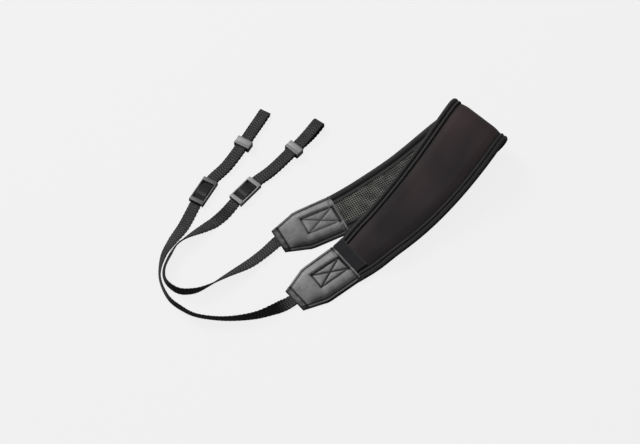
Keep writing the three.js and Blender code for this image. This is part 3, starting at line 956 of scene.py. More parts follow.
def of_kind(items: Iterable[Any], kind: type) -> list[Any]:
    """The items of one kind, such as the vertices, among what an operator made."""
    return [item for item in items if isinstance(item, kind)]


def thicken(shape: bmesh.types.BMesh, thickness: float, outwards: Sequence[float]) -> None:
    """Gives a thin sheet its thickness, inwards from its face.

    Args:
        shape: the sheet.
        thickness: its thickness.
        outwards: the direction that its face looks in.
    """
    bmesh.ops.recalc_face_normals(shape, faces=shape.faces)
    direction = Vector(outwards)
    if sum(face.normal.dot(direction) for face in shape.faces) < 0:
        bmesh.ops.reverse_faces(shape, faces=shape.faces)
    bmesh.ops.solidify(shape, geom=shape.faces[:], thickness=thickness)


def round_edges(
    shape: bmesh.types.BMesh,
    edges: Sequence[bmesh.types.BMEdge],
    rounding: float,
    segments: int = 3,
    clamp: bool = False,
) -> None:
    """Rounds edges.

    Args:
        shape: the shape that they belong to.
        edges: the edges.
        rounding: the radius.
        segments: how many faces each rounding has.
        clamp: keeps the roundings from running into each other.
    """
    bmesh.ops.bevel(
        shape, geom=edges, offset=rounding, segments=segments, profile=0.5,
        affect="EDGES", material=-1, clamp_overlap=clamp,
    )


def add_block(
    shape: bmesh.types.BMesh,
    low: Sequence[float],
    high: Sequence[float],
    rounding: float,
    segments: int = 3,
) -> None:
    """Adds a block with rounded edges.

    Args:
        shape: the shape to add to.
        low: its lowest corner.
        high: its highest corner.
        rounding: the radius of its edges.
        segments: how many faces each rounding has.
    """
    made = bmesh.ops.create_cube(shape, size=1.0)["verts"]
    size = [b - a for a, b in zip(low, high)]
    middle = Vector([(a + b) / 2 for a, b in zip(low, high)])
    bmesh.ops.scale(shape, vec=size, verts=made)
    bmesh.ops.translate(shape, vec=middle, verts=made)
    edges = list({edge for vert in made for edge in vert.link_edges})
    round_edges(shape, edges, rounding, segments)


def stitch_mesh() -> bpy.types.Mesh:
    """One stitch of unit size, made once: a short thread, thin at both ends."""
    mesh = bpy.data.meshes.get("one_stitch")
    if mesh is None:
        shape = bmesh.new()
        bmesh.ops.create_uvsphere(shape, u_segments=6, v_segments=6, radius=0.5)
        mesh = as_mesh("one_stitch", shape)
    return mesh


def add_stitch(
    shape: bmesh.types.BMesh, start: Vector, end: Vector, thread: float, sunk: float
) -> None:
    """Adds one stitch, which dips into the cloth at both ends.

    Args:
        shape: the shape to add to.
        start: one end, on the cloth.
        end: the other end.
        thread: the thread's diameter.
        sunk: how far its ends dip.
    """
    run = end - start
    model = stitch_mesh()
    shape.from_mesh(model)
    shape.verts.ensure_lookup_table()
    turn = Vector((0, 0, 1)).rotation_difference(run.normalized()).to_matrix().to_4x4()
    size = Matrix.Diagonal((thread, thread, run.length, 1))
    place = Matrix.Translation((start + end) / 2)
    for vert in shape.verts[-len(model.vertices) :]:
        share = 2 * vert.co.z
        vert.co = place @ turn @ size @ vert.co
        vert.co.z -= sunk * share * share


def sew(
    shape: bmesh.types.BMesh,
    line: Sequence[Sequence[float]],
    stitch: float,
    gap: float,
    thread: float,
    sunk: float,
    height: Callable[[float, float], float] | None = None,
) -> None:
    """Sews a line of even stitches.

    Args:
        shape: the shape to add to.
        line: the corners of the line, each (along, across) or (along, across, off).
        stitch: the length of one stitch.
        gap: the cloth between two stitches.
        thread: the thread's diameter.
        sunk: how far a stitch's ends dip.
        height: the cloth's height at a place, where the line doesn't give it.
    """
    corners = np.array([(*row, 0.0)[:3] for row in line], dtype=float)
    lengths = run_lengths(corners)
    count = max(1, round((lengths[-1] + gap) / (stitch + gap)))
    pitch = (lengths[-1] + gap) / count
    for number in range(count):
        ends = np.array([number * pitch, number * pitch + pitch - gap])
        start, end = (Vector(spot) for spot in read_line(ends, lengths, corners))
        if height is not None:
            start.z, end.z = height(start.x, start.y), height(end.x, end.y)
        if (end - start).length > 0.4 * stitch:
            add_stitch(shape, start, end, thread, sunk)


# ------------------------------------------------------------------ the folded neck piece


@dataclass
class NeckPiece:
    """The padded neck piece with its mesh lining, its bindings and its label."""

    lay: FoldedPad = field(default_factory=FoldedPad)
    gap: float = 0.3
    tape_width: float = 7.2
    tape_height: float = 2.0
    tape_wall: float = 0.8
    seam: float = 4.5
    stretch: float = 1.38
    crown: float = 2.5
    under: float = 1.2
    swell: float = 0.7
    mesh_pitch: float = 1.9
    label_length: float = 11.0
    label_reach: float = 11.5
    back_tuck: float = 1.2
    front_tuck: float = 3.0
    pinched_by: float = 0.3
    grid: float = 2.6
    backing_off: float = -1.42
    backing_wall: float = 0.15
    mesh_rings: tuple[tuple[float, float, float], ...] = (
        (0.5, -1.75, 0.4), (0.38, -1.9, 0.1), (0.28, -1.48, 0.0),
    )
    mesh_margin: float = 1.3
    mesh_columns: int = 16
    stitch: float = 2.3
    stitch_gap: float = 0.7
    thread: float = 0.4
    label_wall: float = 0.3

    def build(self) -> None:
        """Makes the neck piece."""
        self.build_pad()
        self.build_lining_back()
        self.build_mesh()
        for edge, side in (("outer", 1), ("inner", -1)):
            self.build_binding(edge, side)
        self.build_label()

    def stops(self, pitch: float) -> np.ndarray:
        """Even places along the neck piece, from inside one patch to inside the other."""
        start = -self.back_tuck - self.lay.back_length
        end = self.lay.front_length + self.front_tuck
        return np.linspace(start, end, round((end - start) / pitch) + 1)

    def pinch(self, along: float) -> float:
        """The share of its thickness that the neck piece keeps, less where it is in a patch."""
        past = max(along - self.lay.front_length, -self.lay.back_length - along)
        return 1 - self.pinched_by * soft_step(past, -1.5, 0.5)

    def build_pad(self) -> None:
        """The foam pad under its cloth, blown up a little and then folded."""
        shape = bmesh.new()
        margin = self.tape_wall + self.gap
        pinched = self.tape_height - margin
        columns = 26

        def settle(along: float, share: float) -> tuple[float, float, float]:
            """Gives a point of the pad's cloth its flat place."""
            half = self.lay.half_width(along) - margin
            inset = half * (1 - abs(2 * share - 1))
            rise = soft_step(inset, self.tape_width - margin - 0.3, self.tape_width + 1.5)
            top = pinched + (self.crown - self.swell - pinched) * rise
            return along, half * (2 * share - 1), top * self.pinch(along)

        spread(shape, self.stops(self.grid), columns, settle)
        lower = bmesh.ops.duplicate(shape, geom=shape.faces[:])["geom"]
        for vert in of_kind(lower, bmesh.types.BMVert):
            vert.co.z = -min(vert.co.z, self.under)
        rims = [edge for edge in shape.edges if edge.is_boundary]
        bmesh.ops.bridge_loops(shape, edges=rims)
        bmesh.ops.recalc_face_normals(shape, faces=shape.faces)
        swollen = self.blow_up(as_mesh("pad_cloth_flat", shape))
        shape = bmesh.new()
        shape.from_mesh(swollen)
        pad = lay_piece(
            "pad_body", shape, self.lay, Finish.PAD_CLOTH, ["neck_pad"], painted_light=self.pad_painted_shade
        )
        smoother = pad.modifiers.new("smooth_cloth", "SUBSURF")
        smoother.levels = smoother.render_levels = 1

    def pad_painted_shade(self, along: float, across: float, off: float) -> float:
        """The pad's painted shade: dark where its cloth goes in under the tape."""
        inset = self.lay.half_width(along) - abs(across)
        # Painted shade where the cloth goes in under the tape.
        return -1.0 + soft_step(inset, self.tape_width + 0.1, self.tape_width + 1.5)

    def blow_up(self, mesh: bpy.types.Mesh) -> bpy.types.Mesh:
        """Lets the foam swell against the cloth, held where the tape and the lining hold it.

        Args:
            mesh: the slack cloth, flat, in millimetres.

        Returns:
            The swollen cloth.
        """
        shrink, last_frame = 0.01, 20
        slack = np.array([vert.co for vert in mesh.vertices])
        mesh.transform(Matrix.Diagonal((shrink, shrink, shrink, 1)))
        cloth = in_scene("pad_swelling", mesh)
        held = cloth.vertex_groups.new(name="held")
        for number, (along, across, off) in enumerate(slack):
            inset = self.lay.half_width(along) - abs(across)
            free = soft_step(inset, self.tape_width, self.tape_width + 5) if off > 0 else 0.0
            held.add([number], 1.0 - free, "REPLACE")
        modifier = cloth.modifiers.new("swell", "CLOTH")
        modifier.settings.vertex_group_mass = "held"
        modifier.settings.effector_weights.gravity = 0
        modifier.settings.use_pressure = True
        modifier.settings.uniform_pressure_force = 4
        modifier.settings.tension_stiffness = 25
        modifier.settings.compression_stiffness = 25
        modifier.settings.bending_stiffness = 8
        modifier.settings.quality = 6
        modifier.point_cache.frame_start, modifier.point_cache.frame_end = 1, last_frame
        for number in range(1, last_frame + 1):
            bpy.context.scene.frame_set(number)
        depsgraph = bpy.context.evaluated_depsgraph_get()
        blown = cloth.evaluated_get(depsgraph).to_mesh()
        moved = np.array([vert.co for vert in blown.vertices]) / shrink - slack
        cloth.evaluated_get(depsgraph).to_mesh_clear()
        bpy.context.scene.frame_set(1)
        bpy.data.objects.remove(cloth)
        reach = np.linalg.norm(moved, axis=1)
        LOG.info("pad swells by up to %.2f mm", float(reach.max()))
        moved *= np.minimum(1.0, self.swell / np.maximum(reach, 1e-6))[:, None]
        swollen = bpy.data.meshes.new("pad_cloth_swollen")
        faces = [tuple(face.vertices) for face in mesh.polygons]
        swollen.from_pydata([tuple(spot) for spot in slack + moved], [], faces)
        return swollen

    def build_lining_back(self) -> None:
        """The dark cloth behind the mesh."""
        shape = bmesh.new()

        def settle(along: float, share: float) -> tuple[float, float, float]:
            """Gives a point of the backing its flat place."""
            half = self.lay.half_width(along) - self.tape_width * self.stretch + 0.6
            return along, half * (2 * share - 1), self.backing_off

        spread(shape, self.stops(self.grid), 12, settle)
        bmesh.ops.solidify(shape, geom=shape.faces[:], thickness=self.backing_wall)
        lay_piece("mesh_lining_back", shape, self.lay, Finish.LINING_BACK)

    def build_mesh(self) -> None:
        """The open mesh: cords that cross in raised knots, with a hole in each square."""
        shape = bmesh.new()
        pitch, sides = self.mesh_pitch, 8
        loops = []
        for reach, off, knot in self.mesh_rings:
            ring = bmesh.ops.create_circle(shape, cap_ends=False, segments=sides, radius=pitch)
            made = ring["verts"]
            for number, vert in enumerate(made):
                angle = 2 * math.pi * number / sides
                corner = number % 2
                radius = pitch * reach * (math.sqrt(2) if corner and reach == 0.5 else 1.0)
                vert.co = (radius * math.cos(angle), radius * math.sin(angle), off - knot * corner)
            loops.append(made)
        for outer, inner in zip(loops, loops[1:]):
            edges = {edge for vert in (*outer, *inner) for edge in vert.link_edges}
            wanted = [e for e in edges if e.is_wire or e.is_boundary]
            bmesh.ops.bridge_loops(shape, edges=wanted)
        cell = shape.verts[:] + shape.edges[:] + shape.faces[:]
        columns = {0: cell}
        for column in range(1, self.mesh_columns):
            for side in (1, -1):
                copy = bmesh.ops.duplicate(shape, geom=cell)["geom"]
                verts = of_kind(copy, bmesh.types.BMVert)
                bmesh.ops.translate(shape, vec=(0, side * column * pitch, 0), verts=verts)
                columns[side * column] = copy
        pattern = [item for copy in columns.values() for item in copy]
        start, end = self.mesh_start, self.lay.front_length - self.gap - self.mesh_margin
        for row in range(int((end - start) / pitch) + 1):
            along = start + row * pitch
            last = int((self.lay.half_width(along) - self.tape_width * self.stretch + 0.4) / pitch)
            wanted = [item for column in range(-last, last + 1) for item in columns[column]]
            copy = bmesh.ops.duplicate(shape, geom=wanted)["geom"]
            verts = of_kind(copy, bmesh.types.BMVert)
            bmesh.ops.translate(shape, vec=(along, 0, 0), verts=verts)
        models = of_kind(pattern, bmesh.types.BMVert)
        bmesh.ops.delete(shape, geom=models, context="VERTS")
        bmesh.ops.remove_doubles(shape, verts=shape.verts, dist=0.02)
        nodes = ["mesh_lining"]
        lay_piece("mesh_lining_knit", shape, self.lay, Finish.AIR_MESH, nodes, 75, self.mesh_painted_light)

    @property
    def mesh_start(self) -> float:
        """The place of the mesh's first square."""
        return self.gap - self.lay.back_length + self.mesh_margin

    def mesh_painted_light(self, along: float, across: float, off: float) -> float:
        """The mesh's painted light: highlit knots, dimmer at the back end, and shaded holes."""
        rows = (along - self.mesh_start) / self.mesh_pitch - 0.5
        columns = across / self.mesh_pitch - 0.5
        away = math.hypot(rows - round(rows), columns - round(columns))
        # The knots' painted highlight is weaker near the back end.
        pale = 0.62 + 0.38 * soft_step(along, -168, -95)
        # Painted highlight on the knots, painted shade down in the holes.
        return pale * bump(away, 0.25) - soft_step(off, -1.72, -1.5)

    def build_binding(self, edge: str, side: int) -> None:
        """The tape folded round one edge of the pad, and the row of stitches that holds it.

        Args:
            edge: the edge's name.
            side: 1 for the right edge, -1 for the left.
        """
        width, tall, seam = self.tape_width, self.tape_height, self.seam
        profile = [
            (width + 0.1, tall - 0.55), (width, tall - 0.15), (width - 0.5, tall + 0.1),
            (seam + 1.5, tall + 0.15), (seam + 0.8, tall - 0.05), (seam + 0.35, tall - 0.4),
            (seam, tall - 0.75), (seam - 0.4, tall - 0.4), (seam - 0.9, tall), (2.6, tall + 0.12),
            (1.6, tall), (0.8, tall - 0.5), (0.25, tall - 1.1), (0.0, 0.0),
        ]
        under = [(inset * self.stretch, -off) for inset, off in reversed(profile[:-1])]
        ring = profile + under
        shape = bmesh.new()
        last = len(ring) - 1

        def settle(along: float, share: float) -> tuple[float, float, float]:
            """Gives a point of the tape its flat place."""
            inset, off = ring[round(share * last)]
            ripple = 0.07 * math.sin(along * 0.9) + 0.07 * math.sin(along * 0.37 + inset)
            fullness = soft_step(inset, 0.0, 1.5) * math.copysign(ripple, off or 1.0)
            across = side * (self.lay.half_width(along) - inset)
            return along, across, (off + fullness) * self.pinch(along)

        spread(shape, self.stops(self.grid / 2), last, settle)
        thicken(shape, self.tape_wall * 0.7, (0, side, 0))
        node = f"binding_{edge}_edge"
        name = f"{node}_tape"
        lay_piece(name, shape, self.lay, Finish.BINDING, [node], painted_light=self.binding_painted_light)
        seams = bmesh.new()
        for face in (1, -1):
            inset = seam * (self.stretch if face < 0 else 1.0)
            line = [
                (along, side * (self.lay.half_width(along) - inset), face * (tall - 0.62))
                for along in self.stops(2.0)
            ]
            sew(seams, line, self.stitch, self.stitch_gap, self.thread, 0.12 * face)
        lay_piece(f"{node}_stitching", seams, self.lay, Finish.BINDING_THREAD)

    def binding_painted_light(self, along: float, across: float, off: float) -> float:
        """Painted shade in the tape's seam and under its inner edge, painted highlights on its
        rolls.
        """
        inset = (self.lay.half_width(along) - abs(across)) / (self.stretch if off < 0 else 1.0)
        # Painted shade in the seam and under the inner edge.
        deep = bump(inset - self.seam, 0.55) + bump(inset - self.tape_width - 0.2, 0.45)
        # Painted highlights on the rolls.
        rolls = 0.75 * bump(inset - 1.3, 0.9) + bump(inset - (self.seam + self.tape_width) / 2, 0.8)
        return max(-1.0, rolls - 1.4 * deep)

    def build_label(self) -> None:
        """The woven label across the pad's front end, lapping over the left binding."""
        end = self.lay.front_length - self.gap
        places = np.linspace(end - self.label_length, end, 23)
        under = self.crown + 0.08
        shape = bmesh.new()

        def settle(along: float, share: float) -> tuple[float, float, float]:
            """Gives a point of the label its flat place."""
            half = self.lay.half_width(along)
            across = -half + 0.35 + (half - 0.35 + self.label_reach) * share
            inset = half - abs(across)
            drop = 0.6 * (1 - soft_step(inset, 0.0, 2.4)) if across < 0 else 0.0
            drop += 0.1 * (1 - soft_step(inset, 5.5, 9.5)) if across < 0 else 0.0
            hem = min(along - places[0], places[-1] - along, self.label_reach - across)
            roll = 0.1 * (1 - soft_step(hem, 0.0, 0.6))
            wave = 0.05 * math.sin(across * 0.55 + 1.0)
            return along, across, under + self.label_wall - drop - roll + wave

        spread(shape, places, 70, settle)
        thicken(shape, self.label_wall, (0, 0, 1))
        lay_piece("label", shape, self.lay, Finish.LABEL, ["label_tab"])


# ------------------------------------------------------------------ one end of the strap


@dataclass(frozen=True)
class Sewing:
    """What sets one patch apart: its box of stitches and the way that it has slumped.

    Attributes:
        box: the corners of the crossed box, as (along, across).
        depth: how deep the box's stitches sink, as a share of the deepest.
        slump: how far the patch's right side has sunk.
        tone: how much paler or darker its leather is, from -1 to 1.
        drawn: how far its wide end is drawn out over the pad.
        skew: how much further its narrow end's left corner reaches, as a slope.
    """

    box: tuple[tuple[float, float], ...]
    depth: float
    slump: float
    tone: float
    drawn: float
    skew: float


@dataclass
class EndPatch:
    """A stitched leather patch, padded along its sides and pressed down in a crossed box."""

    name: str
    lay: FlatPose
    sewing: Sewing
    length: float = 54.9
    sections: tuple[tuple[float, float, float], ...] = (
        (0, 36.2, 5.4), (2, 36.4, 5.6), (30, 35.6, 5.4), (34.5, 34.8, 5.2),
        (38.5, 31.8, 4.9), (42.5, 29.2, 4.6), (54.5, 21, 3.8),
    )
    corner: float = 2.6
    rim: float = 2.1
    hem: float = 4.8
    lip: float = 2.9
    over: float = 0.5
    thread: float = 0.6
    stitch: float = 1.9
    stitch_gap: float = 0.45
    flat_share: float = 0.78
    press: float = 1.55
    quilting: float = 0.45
    box_seam: float = 0.5
    pucker: float = 0.10
    side_seam: float = 0.45
    hem_seam: float = 0.55
    hem_roll: float = 0.35
    lip_seam: float = 0.5
    lip_roll: float = 0.75
    edge_drop: float = 0.35
    belly: float = 0.35
    slack: float = 0.1

    def build(self) -> None:
        """Makes the patch and its stitching."""
        self.build_leather()
        self.build_stitching()

    def half_width(self, along: float) -> float:
        """Half of the patch's width at a place along it."""
        half = float(np.interp(along, *np.array([row[:2] for row in self.sections]).T)) / 2
        into = max(0.0, self.corner - along)
        return half + self.over - self.corner + math.sqrt(self.corner**2 - into**2)

    def place(self, flat: np.ndarray) -> np.ndarray:
        """Lays rows of (along, across, up), drawn out over the pad and skewed at the narrow end."""
        along, across, up = np.asarray(flat, float).T
        share = along / self.length
        along = along - self.sewing.drawn * (1 - share) - self.sewing.skew * across * share**2
        return self.lay.place(np.stack([along, across, up], axis=-1))

    def height(self, along: float, across: float) -> float:
        """The height of the leather's upper face."""
        full = float(np.interp(along, *np.array([row[::2] for row in self.sections]).T)) - 0.1
        side = self.half_width(along) - abs(across)
        tail = self.length - along
        padded = soft_step(side, self.rim, self.rim + 3.4) * soft_step(tail, self.hem, self.hem + 7)
        padded *= soft_step(along, self.lip, self.lip + 2.2)
        rise = full * (self.flat_share + (1 - self.flat_share) * padded)
        pressed = 1 - soft_step(self.outside_box(along, across), -0.3, 2.6)
        pressed *= soft_step(along, 3.6, 7.4)
        from_seam = self.off_box(along, across)
        sunk = self.press - self.quilting * soft_step(from_seam, 0.4, 2.6)
        rise -= pressed * sunk * (0.45 + 0.55 * padded)
        rise -= self.box_seam * self.sewing.depth * bump(from_seam, 0.6)
        rise += self.pucker * bump(from_seam - 1.5, 0.8) * math.sin(1.9 * along + 2.3 * across)
        rise -= self.side_seam * bump(side - self.rim, 0.6) * soft_step(tail, 3.6, 4.6)
        rise -= self.hem_seam * bump(tail - self.hem, 0.6)
        rise += self.hem_roll * bump(tail - self.hem + 1.9, 1.3)
        rise -= self.lip_seam * bump(along - self.lip - 0.4, 0.55)
        rise += self.lip_roll * (1 - soft_step(along, 1.3, 3.1))
        rise -= self.edge_drop * (1 - soft_step(min(side, tail, along + 0.2), 0.0, 0.8))
        if across > 0:
            rise -= self.sewing.slump * max(0.0, 1 - side / 10) ** 2 * soft_step(along, 0.0, 6.0)
        half = side + abs(across)
        belly = soft_step(along, 30.0, 38.0) * (1 - ((across + 1.5) / half) ** 2)
        slack = self.slack * math.sin(0.21 * along + 0.17 * across)
        return rise + (self.belly * belly + slack) * padded

    def painted_light(self, along: float, across: float, up: float) -> float:
        """The leather's painted light: shade in its seams and on its sides, highlights on its
        ridges.
        """
        side = self.half_width(along) - abs(across)
        tail = self.length - along
        # Painted shade: the cut sides are black.
        if up < 2.2 and min(side + 0.03, tail - 0.01) < 0:
            return -1.0
        # Painted shade in the seams, along the edges and round the box's corners.
        deep = self.sewing.depth * bump(self.off_box(along, across), 0.75)
        deep += 0.9 * bump(side - self.rim, 0.55) + 0.9 * bump(tail - self.hem, 0.6)
        deep += 0.9 * self.sewing.depth * bump(along - self.lip + 0.8, 0.7)
        deep += 0.6 * bump(min(side, tail), 0.35)
        knot = min(math.dist((along, across), corner) for corner in self.sewing.box)
        deep += 0.8 * self.sewing.depth * bump(knot, 1.2)
        # Painted highlights on the padded ridges beside the box and on the wide end's lip.
        left, right = self.sewing.box[1][1], self.sewing.box[2][1]
        ridge = bump(across - left + 3.6, 2.2) + 0.6 * bump(across - right - 3.4, 2.0)
        ridge = ridge * soft_step(32 - along, -8, 2) * 0.8
        ridge += (0.4 * soft_step(across, 9, 16) - 0.1) * soft_step(2.4 - along, 0.0, 0.8)
        # A painted highlight left of the middle that turns to painted shade on the right.
        ridge += bump(along - 38, 9.0) * (0.5 - 0.6 * soft_step(across, -8, 8))
        # Painted shade down the right side and on the narrow end's band.
        ridge -= 0.3 * soft_step(across, 4, 14) + 0.6 * soft_step(self.hem - tail, 0.0, 0.8)
        # Painted highlights on the narrow end's roll.
        ridge += 0.3 * bump(tail - self.hem + 1.9, 0.9) * (0.4 + math.sin(0.9 * across))
        return max(-1.0, self.sewing.tone + ridge - 1.5 * deep)

    def outside_box(self, along: float, across: float) -> float:
        """How far a place is outside the box, or less than 0 inside it."""
        out = -99.0
        box = self.sewing.box
        for (ax, ay), (bx, by) in zip(box, box[1:] + box[:1]):
            turn = (along - ax) * (by - ay) - (across - ay) * (bx - ax)
            out = max(out, turn / math.dist((ax, ay), (bx, by)))
        return out

    def crosses(self) -> list[list[tuple[float, float]]]:
        """The lines of stitches of the crossed box."""
        a, b, c, d = self.sewing.box
        return [[a, b, c, d, a], [a, c], [d, b]]

    def off_box(self, along: float, across: float) -> float:
        """How far a place is from the nearest line of the crossed box."""
        nearest = 99.0
        for line in self.crosses():
            for (ax, ay), (bx, by) in zip(line, line[1:]):
                dx, dy = bx - ax, by - ay
                share = ((along - ax) * dx + (across - ay) * dy) / (dx * dx + dy * dy)
                share = min(1.0, max(0.0, share))
                away = math.hypot(along - ax - share * dx, across - ay - share * dy)
                nearest = min(nearest, away)
        return nearest

    def build_leather(self) -> None:
        """The leather: its upper face, its stitched sides and its flat underside."""
        shape = bmesh.new()
        places = np.linspace(0, self.length, 140)

        def settle(along: float, share: float) -> tuple[float, float, float]:
            """Gives a point of the upper face its place."""
            across = (2 * share - 1) * self.half_width(along)
            return along, across, self.height(along, across)

        spread(shape, places, 92, settle)
        rim = [edge for edge in shape.edges if edge.is_boundary]
        for drop_to, grow in ((2.1, 0.1), (1.9, 0.1), (0.4, 0.05), (0.05, -0.25)):
            made = bmesh.ops.extrude_edge_only(shape, edges=rim)["geom"]
            rim = of_kind(made, bmesh.types.BMEdge)
            for vert in of_kind(made, bmesh.types.BMVert):
                vert.co.y += math.copysign(grow, vert.co.y) * (abs(vert.co.y) > 1)
                vert.co.z = min(vert.co.z, drop_to)
        bmesh.ops.holes_fill(shape, edges=rim, sides=0)
        name = f"{self.name}_leather"
        lay_piece(name, shape, self, Finish.LEATHER, [self.name], 60, self.painted_light)

    def thread_height(self, along: float, across: float) -> float:
        """The height of a stitch's middle on the leather."""
        return self.height(along, across) + 0.05

    def build_stitching(self) -> None:
        """The stitches round the patch, across its narrow end and in its box."""
        shape = bmesh.new()
        places = np.linspace(self.lip + 1, self.length - self.hem, 40)
        sides = [[(x, side * (self.half_width(x) - self.rim)) for x in places] for side in (1, -1)]
        tail = self.length - self.hem
        end = self.half_width(tail) - self.rim
        fine = self.thread * (0.5 + 0.5 * self.sewing.depth)
        lines = [(line, self.thread) for line in (*sides, [(tail, -end), (tail, end)])]
        lines.extend((line, fine) for line in self.crosses())
        for line, thread in lines:
            sew(shape, line, self.stitch, self.stitch_gap, thread, 0.2, self.thread_height)
        lay_piece(f"{self.name}_stitching", shape, self, Finish.PATCH_THREAD)


@dataclass(frozen=True)
class Fitting:
    """Sizes shared by the webbing and the plastic that it passes through."""

    width: float = 10.0
    thickness: float = 1.3
    gap: float = 0.3
    adjuster_length: float = 25.5
    adjuster_width: float = 13.4
    rail: float = 1.3
    end_bar: float = 3.8
    end_bar_bottom: float = 3.2
    adjuster_top: float = 4.9
    middle_bar: float = 3.2
    middle_bar_top: float = 1.9
    keeper_length: float = 8.0
    keeper_width: float = 14.2
    keeper_height: float = 6.6
    keeper_wall: float = 1.1
    keeper_rounding: float = 0.52

    @property
    def layer(self) -> float:
        """The rise from one layer of webbing to the next."""
        return self.thickness + self.gap

    @property
    def first(self) -> float:
        """The middle of a layer that lies on the table."""
        return self.thickness / 2

    @property
    def reach(self) -> float:
        """The straight run either side of an adjuster's middle."""
        return self.adjuster_length / 2 + 1


@dataclass
class StrapLead:
    """The flat end of a strap, from its adjuster to the tip of its lug loop."""

    adjuster: tuple[float, float, float]
    between: tuple[float, float]
    keeper: tuple[float, float]
    outer: tuple[float, float]
    tip: tuple[float, float]
    loop_height: float
    fitting: Fitting = field(default_factory=Fitting)
    line: np.ndarray = field(init=False)
    lengths: np.ndarray = field(init=False)
    keeper_at: float = field(init=False)

    def __post_init__(self) -> None:
        """Draws the middle line on the table."""
        x, y, bearing = self.adjuster
        reach = self.fitting.reach
        dx, dy = reach * math.cos(math.radians(bearing)), reach * math.sin(math.radians(bearing))
        rows = [
            (x - dx, y - dy), (x, y), (x + dx, y + dy),
            self.between, self.keeper, self.outer, self.tip,
        ]
        self.line = smooth_line(rows, 100, 0.5)
        self.lengths = run_lengths(self.line)
        self.keeper_at = float(self.lengths[400])

    @property
    def length(self) -> float:
        """The distance from the first point to the tip."""
        return float(self.lengths[-1])

    @property
    def tip_radius(self) -> float:
        """The radius of the webbing's turn at the tip."""
        return (self.loop_height - self.fitting.thickness) / 2

    def pose(self, at: float) -> FlatPose:
        """The place and the bearing at a distance along the line."""
        spots = read_line(np.array([at - 0.3, at, at + 0.3]), self.lengths, self.line)
        ahead = spots[2] - spots[0]
        return FlatPose(spots[1][0], spots[1][1], math.atan2(ahead[1], ahead[0]))

    def heights(self) -> list[tuple[float, float]]:
        """The webbing's middle as (distance, height) pairs, out to the tip and back again."""
        fit = self.fitting
        at, keep = fit.reach, self.keeper_at
        turn = self.length - self.tip_radius
        level = fit.first + fit.layer
        crown = fit.middle_bar_top + fit.gap + fit.layer + fit.first - 0.05
        high = fit.keeper_wall + fit.gap + 0.6 + level
        top = fit.first + 2 * self.tip_radius
        bar, slope, foot = 2.2, 5.6, 9.2
        settled, by_keeper, by_tip = 16, 6, 9
        upper = [
            (0, fit.first + 0.4), (at - foot, level - 0.1), (at - slope, crown - 1.1),
            (at - bar, crown), (at + bar, crown), (at + slope, crown - 1.1), (at + foot, level),
            (at + settled, level), (keep - by_keeper, high), (keep + by_keeper, high),
            (turn - by_tip, top - 0.1), (turn, top),
        ]
        round_tip = [
            (turn + self.tip_radius * math.sin(angle),
             fit.first + self.tip_radius * (1 + math.cos(angle)))
            for angle in (math.pi * step / 7 for step in range(1, 7))
        ]
        low = fit.keeper_wall + fit.gap + fit.first
        inner = fit.middle_bar_top + fit.gap + fit.first
        lower = [
            (turn, fit.first), (turn - by_tip, fit.first), (keep + by_keeper, low),
            (keep - by_keeper, low), (at + settled, fit.first), (at + foot, fit.first),
            (at + slope, inner - 1.1), (at + bar, inner), (at - bar, inner),
            (at - slope, inner - 1.1),
        ]
        return upper + round_tip + lower

    def route(self) -> tuple[np.ndarray, np.ndarray, np.ndarray]:
        """The webbing's middle line and its two directions, from the adjuster round to its tail."""
        rows = [(at, 0.0, height) for at, height in self.heights()]
        curve = smooth_line(rows, 12, 0.5)
        slope = np.gradient(curve, axis=0)
        slope /= np.linalg.norm(slope, axis=1)[:, None]
        at = np.clip(curve[:, 0], 0.0, self.length)
        spots = read_line(at, self.lengths, self.line)
        ahead = read_line(at + 0.4, self.lengths, self.line) - read_line(
            at - 0.4, self.lengths, self.line
        )
        ahead /= np.linalg.norm(ahead, axis=1)[:, None]
        height = np.maximum(curve[:, 2], self.fitting.first)
        middle = np.column_stack([spots, height])
        across = np.column_stack([ahead[:, 1], -ahead[:, 0], np.zeros(len(at))])
        off = np.column_stack([-slope[:, 2:] * ahead, slope[:, 0]])
        off /= np.linalg.norm(off, axis=1)[:, None]
        return middle, across, off


